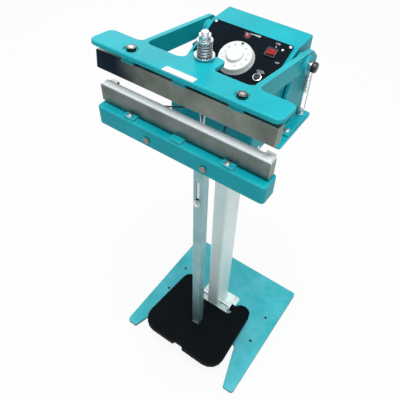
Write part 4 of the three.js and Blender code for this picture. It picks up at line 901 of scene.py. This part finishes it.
# %% Rocker: a dished key, wide across and rounded at its edges
rocker_half, rocker_long, rocker_keel, keel_half = 7.1, 6.1, 4.5, 3.66
rocker_top, rocker_dish, end_share, edge_in = 2.5, 1.2, 0.92, 0.6
bezel_gap, bezel_height, pin_drop = 0.3, 2.4, 2.6
pin_height = bezel_gap + bezel_height - pin_drop
top_y = np.linspace(rocker_long, -rocker_long, 13)
top_z = rocker_top + rocker_dish * (top_y / rocker_long) ** 2
rocker_side = np.concatenate([
    np.stack([top_y, top_z], -1),
    [(-rocker_long, 0), (-keel_half, -rocker_keel), (keel_half, -rocker_keel), (rocker_long, 0)],
])
rocker_middle = rocker_side.mean(0)


def rocker_ring(x, share):
    """The key's side outline at x, drawn in towards its middle by a share."""
    flat = rocker_middle + (rocker_side - rocker_middle) * share
    return np.column_stack([np.full(len(flat), x), flat])


rocker_rings = np.stack([
    rocker_ring(-rocker_half, end_share), rocker_ring(edge_in - rocker_half, 1.0),
    rocker_ring(rocker_half - edge_in, 1.0), rocker_ring(rocker_half, end_share),
])
tilt_axes = tipped(math.radians(-10))


def on_rocker(rings):
    """Points of the level key, tilted about its pin and laid on the panel."""
    return on_panel(moved(rings, axes=tilt_axes), switch_x, switch_y, pin_height)


rocker_key = piece("rocker_key", [skin(on_rocker(rocker_rings))], "red_plastic", "rocker")
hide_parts("rocker")
line_mark = moved(patch(0.22, 1.2, 0.1), (0, 3.6, 2.97))
piece("rocker_marks", [skin(on_rocker(line_mark))], "ink_white", "rocker", "white_plastic", closed=False,
      smooth=False)
print("rocker made")

# %% [markdown]
# ## Pressing frame
#
# A pull on the rod reaches the frame through a short strong spring under a nut, so that the bars press
# evenly on any bag. Coils and threads are both helices: one wire is carried round a circle while it
# climbs, and a thread is a saw-tooth on a rod's radius whose phase turns with the angle.

# %% From the level frame to the open one
frame_pivot = np.array([0, 67, 943])
open_axes = tipped(math.radians(-7.5))


def opened(rings):
    """Points drawn on the closed, level frame about its pivot, turned to where it rests open."""
    return moved(rings, frame_pivot, open_axes)


# %% Pressure spring, thread and nut
rod_y = -94.0


def on_rod(rings):
    """Part of a piece that stands round the pull rod."""
    return skin(moved(rings, (0, rod_y, 0)))


def coil(radius, low, high, turns, steps=28, ends=0.75):
    """A helix about Z from low to high whose first and last turns lie nearly flat: the climb's share
    is eased at both ends."""
    share = np.linspace(0, 1, int(turns * steps) + 1)
    angle = 2 * np.pi * turns * share
    turn = share * turns
    climb = np.clip((turn - ends) / (turns - 2 * ends), 0, 1)
    flat = 0.12 * (turn / turns - climb)
    return round_points(radius, angle, low + (high - low) * (climb + flat))


def span(name):
    """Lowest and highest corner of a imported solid, in millimetres."""
    points = solid_points(name)
    return points.min(0), points.max(0)


spring_low, spring_high = span("pressure_spring")
wire_radius, pressure_radius, pressure_turns = 1.6, 11.2, 5.5
pressure_wire = coil(pressure_radius, spring_low[2] + wire_radius, spring_high[2] - wire_radius, pressure_turns)
pressure_coil = piece("pressure_coil", [on_rod(drawn(pressure_wire, wire_radius, 14))], "spring_steel",
                      "pull_rod", "bright_steel")
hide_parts("pressure_spring")

stud_top = span("pull_stud")[1][2]
thread_pitch, thread_root, thread_crest, thread_low, thread_sides = 1.75, 5.75, 6.3, 925.0, 30
tip_radius, thread_drop, tip_drop = 5.2, 0.9, 0.4
levels = np.arange(thread_low, stud_top - thread_drop, thread_pitch / 6)
angle = full_turn(thread_sides)
phase = (levels[:, None] / thread_pitch - angle[None] / (2 * np.pi)) % 1
tooth = 1 - np.abs(2 * phase - 1)
radius = np.vstack([thread_root + (thread_crest - thread_root) * tooth, np.full(thread_sides, tip_radius)])
levels = np.append(levels, stud_top - tip_drop)[:, None]
piece("stud_thread", [on_rod(round_points(radius, angle, levels))], "bright_steel", "pull_rod")


def nut_rings(width, low, high):
    """A hexagon nut, so wide over its flats: round where its chamfers cut the corners."""
    half = width / 2
    rise = (high - low) * 0.14
    return turned([(half * 0.86, low), (half * 1.02, low + 0.01), (half, low + rise), (half, high - rise),
                   (half * 1.02, high - 0.01), (half * 0.86, high)], 48, flats([0, 0, 1, 1, 0, 0], hexagon))


nut_low, nut_high = span("pressure_nut")
pressure_nut = piece("hex_nut", [on_rod(nut_rings(19, nut_low[2], nut_high[2]))], "bright_steel", "pull_rod")
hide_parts("pressure_nut")
print("spring of", len(pressure_wire), "points, thread of", len(levels), "rings")

# %% Blank label plate on the frame's front edge
coated("label_paper", (226, 230, 232), (240, 242, 243), (252, 252, 252), 0.3, lift=0.02,
       edge_radius=0.0004, coat=0.3)
label_half_x, label_half_y = 29.0, 7.2
label_place = (1.5, -235.9, 28.9)
label_rings = slab(rounded(label_half_x, label_half_y, 2.2), 0, 0.5, 0.15)
piece("label_plate", [skin(opened(moved(label_rings, label_place)))], "label_paper", "pressing_frame",
      "white_plastic")
border = rounded(label_half_x - 1.3, label_half_y - 1.3, 1.4)
inner = rounded(label_half_x - 2.1, label_half_y - 2.1, 0.8)
line_low, line_high = 0.5, 0.58
line_rings = layered([(border, line_low), (border, line_high), (inner, line_high), (inner, line_low)])
piece("label_line", [skin(opened(moved(line_rings, label_place)), closed_ends=False)], "red_plastic",
      "pressing_frame", closed=False)

# %% [markdown]
# ## Jaws
#
# The lower bar carries a flat heating ribbon under a strip of coated glass cloth, which keeps the film
# from sticking. The cloth is a cross-section, with the soft ridge that the ribbon makes in it and edges
# that roll down, carried along the bar.

# %% Coated cloth over the ribbon
cloth_low, cloth_high = span("ptfe_cover")
cloth_middle_y = (cloth_low[1] + cloth_high[1]) / 2
cloth_half = (cloth_high[1] - cloth_low[1]) / 2 + 0.5
cloth_length, cloth_thickness = 344, 0.22
ridge_height, ridge_half, roll_drop, roll_start, ripple_height = 0.42, 3.1, 0.75, 0.9, 0.05
cloth_across = np.linspace(-1, 1, 41)
ridge = ridge_height * np.exp(-((cloth_across * cloth_half - 0.4) / ridge_half) ** 8)
edge_roll = roll_drop * np.clip((np.abs(cloth_across) - roll_start) / (1 - roll_start), 0, 1) ** 2
cloth_along = np.linspace(-cloth_length / 2, cloth_length / 2, 87)[:, None]
ripple = ripple_height * np.sin(cloth_along * 0.11 + 2.1 * cloth_across) * (1 - cloth_across ** 2)
cloth_y = np.broadcast_to(cloth_middle_y + cloth_across * cloth_half, ripple.shape)
cloth_z = cloth_low[2] + 0.2 + ridge - edge_roll + ripple
cloth_x = np.broadcast_to(cloth_along, ripple.shape)
upper_side = np.stack([cloth_x, cloth_y, cloth_z], -1)
under_side = np.stack([cloth_x, cloth_y, cloth_z - cloth_thickness], -1)[:, ::-1]
cloth = piece("seal_cloth", [skin(np.concatenate([upper_side, under_side], 1))], "coated_cloth")
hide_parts("ptfe_cover")

# %% Set screws with lock nuts on the beam's outer pads
pad_x, pad_y, pad_top = 104.0, -172.6, span("lower_beam")[1][2]
slotted_end = turned([(2.9, 0), (3.0, 4.6), (2.6, 5.1), (1, 5.1), (1, 4.1), (0.05, 4.0)], 36,
                     flats([0, 0, 0, 1, 1, 0], rectangle(2.2, 0.45)))
piece("beam_set_screws", [
    skin(moved(rings, (x, pad_y, pad_top)))
    for x in (-pad_x, pad_x) for rings in (nut_rings(10, 0, 3.4), slotted_end)
], "bright_steel")

# %% Leads to the ribbon's clamps
lead_radius, lead_steps = 1.6, 18
lead_points = np.array([
    (45, -68, 870), (45, -78, 870), (53, -105.75, 881), (77, -133.5, 892), (111.5, -142.7, 892),
    (138, -142.7, 900.05), (153.4, -142.7, 908.1), (161.7, -142.7, 908.1),
])


def through_points(points, steps):
    """A centripetal Catmull-Rom curve: between two points a cubic whose slopes come from the points on
    both sides, spaced by the square root of their distances."""
    points = np.asarray(points, float)
    padded = np.vstack([2 * points[0] - points[1], points, 2 * points[-1] - points[-2]])
    gap = np.sqrt(np.linalg.norm(np.diff(padded, axis=0), axis=1))
    knot = np.concatenate([[0], np.cumsum(gap)])
    curve = []
    for i in range(1, len(padded) - 2):
        t = np.linspace(knot[i], knot[i + 1], steps, endpoint=False)[:, None]
        level, k = list(padded[i - 1:i + 3]), knot[i - 1:i + 3]
        for reach, first in ((1, 0), (2, 0), (1, 1)):
            level = [
                (level[j] * (k[j + first + reach] - t) + level[j + 1] * (t - k[j + first]))
                / (k[j + first + reach] - k[j + first]) for j in range(len(level) - 1)
            ]
        curve.append(level[0])
    return np.vstack(curve + [points[-1:]])


for side, name in both_sides:
    route = through_points(lead_points * [side, 1, 1], lead_steps)
    sleeve = piece("lead_sleeve_" + name, [skin(drawn(route, lead_radius))], "black_plastic")
    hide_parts("element_lead_" + name)

# %% [markdown]
# ## Return springs, pivots and screws
#
# Each return spring is one wire: a hook on the post's eye, a straight leg, sixteen turns, another leg and
# a hook on the arm. On the machine its lower end stays with the post and its upper end goes with the arm,
# and the turns open as the frame comes down; the piece here rides on no body.

# %% Return springs
hook_wire, turn_radius, coil_low, coil_high, coil_turns = 1.0, 5.4, 862.0, 911.6, 16
hook_x, leg_x, bend_radius, leg_rise = 102.6, 114.3, 3, 6
bend = np.linspace(0, np.pi / 2, 7)
bend_x = leg_x + bend_radius * (np.sin(bend) - 1)
bend_z = bend_radius * (1 - np.cos(bend))
for side, name in both_sides:
    low, high = span("return_spring_" + name)
    middle_y = (low[1] + high[1]) / 2
    bottom, top = low[2] + hook_wire, high[2] - hook_wire
    lower = np.column_stack([bend_x, np.zeros(7), bottom + bend_z])
    upper = np.column_stack([bend_x, np.zeros(7), top - bend_z])[::-1]
    turns = coil(turn_radius, coil_low, coil_high, coil_turns, steps=20, ends=0.01)
    wire = np.vstack([
        [hook_x, 0, bottom], lower, [leg_x, 0, coil_low - leg_rise], turns + [leg_x - turn_radius, 0, 0],
        [leg_x, 0, coil_high + leg_rise], upper, [hook_x, 0, top],
    ]) * [side, 1, 1] + [0, middle_y, 0]
    spring = piece("return_coil_" + name, [skin(drawn(wire, hook_wire, 10))], "bright_steel", None)
    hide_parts("return_spring_" + name)
    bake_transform(spring)
print("return springs of", len(wire), "points")

# %% Black caps on the pivots
cap_profile = [(7.0, 123.4), (9.4, 123.6), (9.75, 124.4), (9.75, 129.6), (9.2, 131.6), (7.6, 132.8),
               (4.5, 133.1), (0.05, 133.1)]
cap_rings = moved(turned(cap_profile, 48), frame_pivot, facing_right)
for side, name in both_sides:
    piece("pivot_cap_" + name, [skin(cap_rings * [side, 1, 1])], "black_plastic")

# %% Bolts under the head plate, plugs in the base, and screws of the box
head_plate_low, bolt_head = 789.0, nut_rings(10, -4.6, 0)
head_bolts = [skin(moved(bolt_head, (x, y, head_plate_low))) for x in (-45, 45) for y in (-12, 60)]
piece("head_plate_bolts", head_bolts, "bright_steel")
base_top = span("base_plate")[1][2]
plug_rings = turned([(0.05, -4.6), (4.3, -4.6), (4.3, -1.6), (3.6, -1.2), (2.6, -1.9), (0.05, -2.1)], 32)
plugs = [skin(moved(plug_rings, (x, y, base_top))) for x in (-163, 163) for y in (-32, 65)]
piece("hole_plugs", plugs, "rubber")
box_side, screw_height = 92.0, 812
box_screws = [
    skin(moved(button_screw(3.6, 2.0, 1.3), (box_side, y, screw_height), facing_right) * [side, 1, 1])
    for side in (-1, 1) for y in (-40, 100)
]
piece("box_screws", box_screws, "bright_steel")
print("caps, bolts and screws made")
